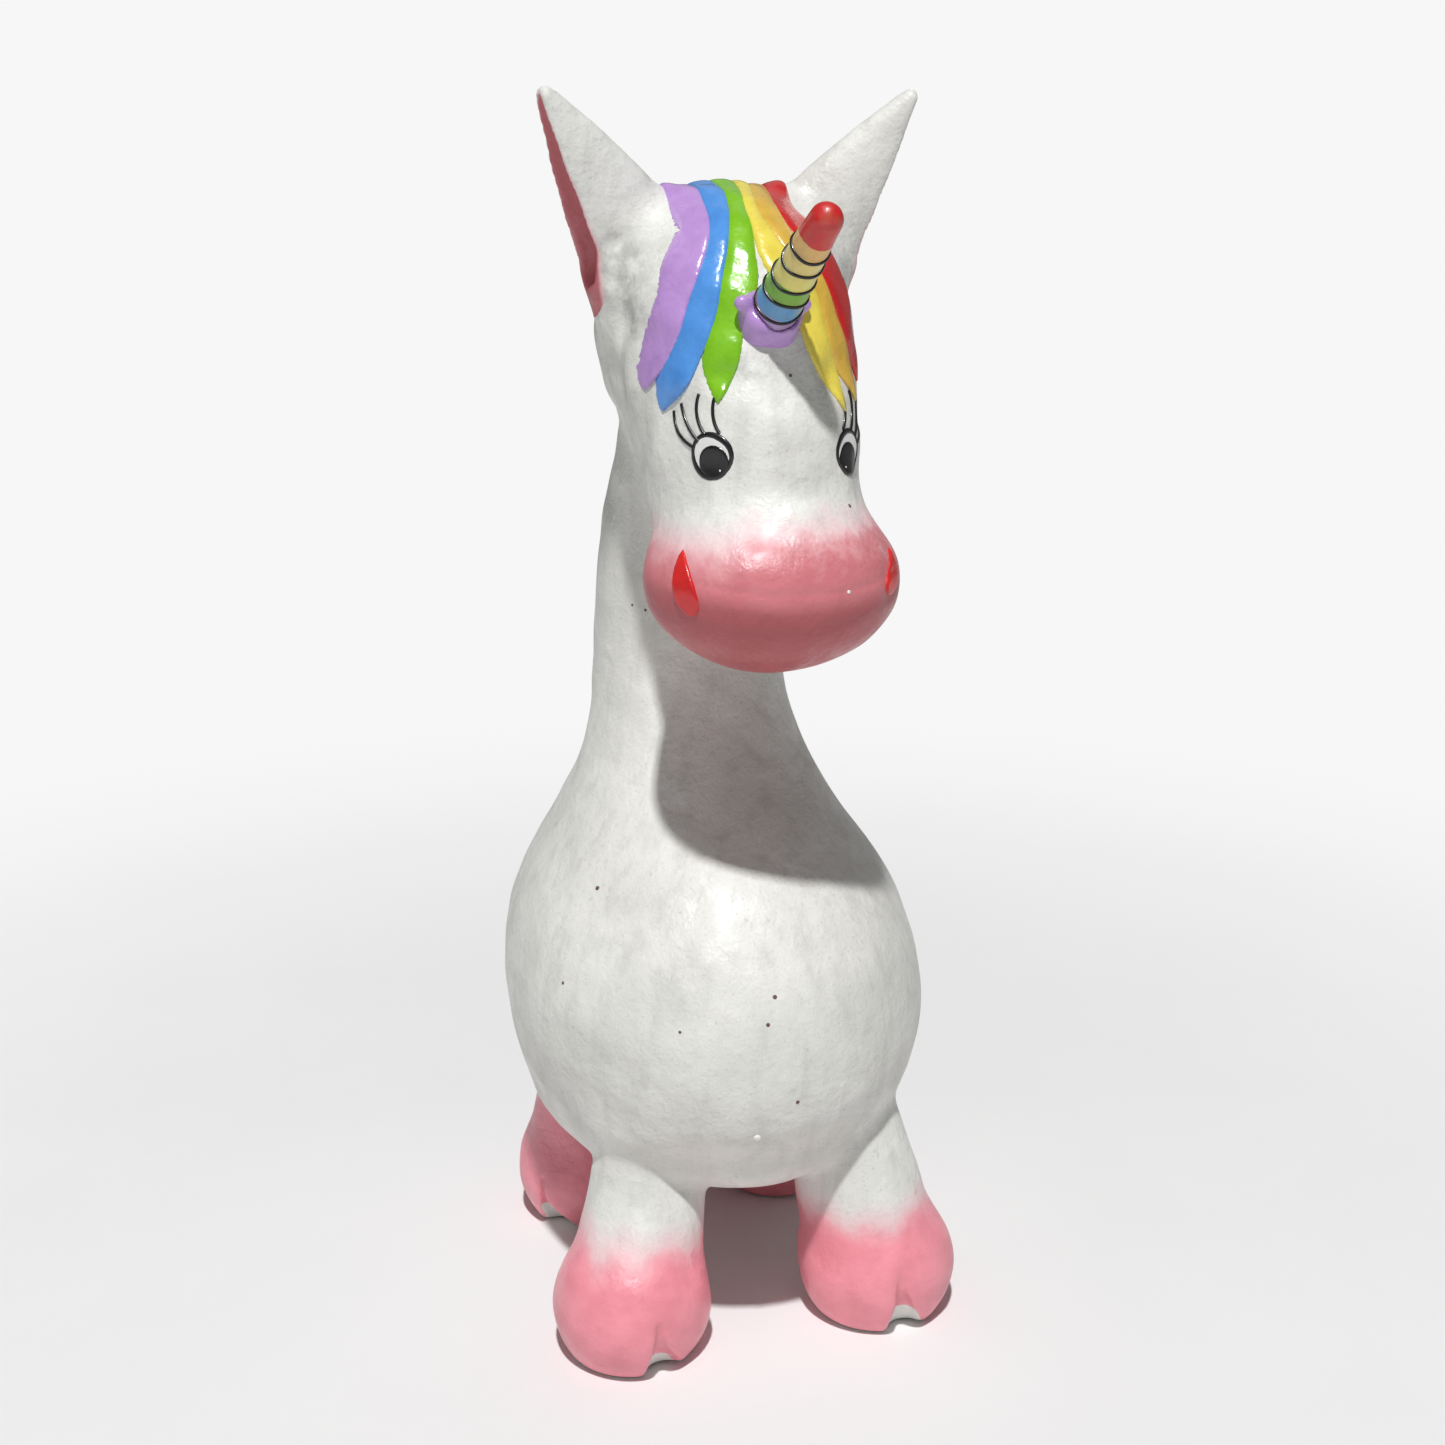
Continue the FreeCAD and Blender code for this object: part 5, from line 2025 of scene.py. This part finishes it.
CARD = Fibre("card", paint(176, 146, 108), paint(140, 110, 78), (1, 1, 0.2), 0.9, 0.05)
PAPER = Fibre("bare_paper", paint(200, 190, 168), paint(160, 148, 126), (0.5, 0.5, 1), 1.6, 0.1)
WOOD = Fibre("dowel_wood", paint(206, 172, 122), paint(166, 126, 80), (1, 1, 0.06), 0.8, 0.05, 0.6)
RIBBON = Fibre("tab_ribbon", paint(214, 48, 52), paint(160, 24, 34), (1, 8, 1), 0.5, 0.05, 0.5, 0.3)


@dataclass(frozen=True)
class HornPaint:
    """Bands of paint along the horn, which end at its brushed rings."""

    name: str = "horn_paint"
    bands: tuple[tuple[float, tuple[float, ...]], ...] = (
        (-9.0, paint(180, 148, 206)),
        (6.2, paint(88, 156, 206)),
        (10.5, paint(116, 178, 48)),
        (15.5, paint(226, 216, 118)),
        (20.8, paint(226, 206, 126)),
        (25.0, paint(222, 180, 108)),
        (28.6, paint(200, 34, 36)),
    )
    wobble: float = 1.1

    def make(self) -> bpy.types.Material:
        """Build the material.

        Returns:
            The finished material.
        """
        recipe = Recipe(self.name)
        shake = recipe.math("MULTIPLY", recipe.math("SUBTRACT", recipe.noise(4, 2, seed=51), 0.5), self.wobble)
        height = recipe.math("ADD", recipe.attribute("along_horn"), shake)
        colour: object = self.bands[0][1]
        for start, band in self.bands[1:]:
            colour = recipe.mix(recipe.ramp(height, start - 0.15, start + 0.15), colour, band)
        dull = recipe.ramp(recipe.noise(3, 4, seed=52), 0.4, 0.8, 0.0, 0.35)
        colour = recipe.mix(dull, colour, paint(150, 130, 96))
        roughness = recipe.ramp(recipe.noise(3.5, 2, seed=53), 0.3, 0.7, 0.28, 0.45)
        normal = recipe.relief(recipe.noise(2.5, 3, seed=54), 0.2)
        recipe.set(Base_Color=colour, Roughness=roughness, Normal=normal, Coat_Weight=0.3, Coat_Roughness=0.15)
        return recipe.material


def write_sizes() -> None:
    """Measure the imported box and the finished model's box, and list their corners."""
    boxes = {"cad": CAD_BOX, "visual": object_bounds()}
    lists = {name: [list(corner) for corner in box] for name, box in boxes.items()}


def main() -> None:
    """Build the studio and every part of the figure, in order."""
    logging.basicConfig(level=logging.INFO, format="%(name)s %(message)s")
    Studio().build()
    figure = Figure()
    black, eye_white = BLACK.make(), EYE_WHITE.make()
    paints = {finish.name.split("_")[0]: finish.make() for finish in LOCK_PAINTS}
    PulpBody(Skin(figure), WhiteCoat().make()).build()
    Hair(figure, paints).build()
    Horn(figure, HornPaint().make(), paints["lilac"], black).build()
    PaintedFace(figure, black, eye_white, NOSTRIL_RED.make()).build()
    Marks(figure, PINHOLE.make(), eye_white).build()
    card = CARD.make()
    Filler(card, RIBBON.make()).build()
    Inside.CARD.dress(card)
    Inside.PAPER.dress(PAPER.make())
    Inside.WOOD.dress(WOOD.make())
    write_sizes()


if __name__ == "__main__":
    main()
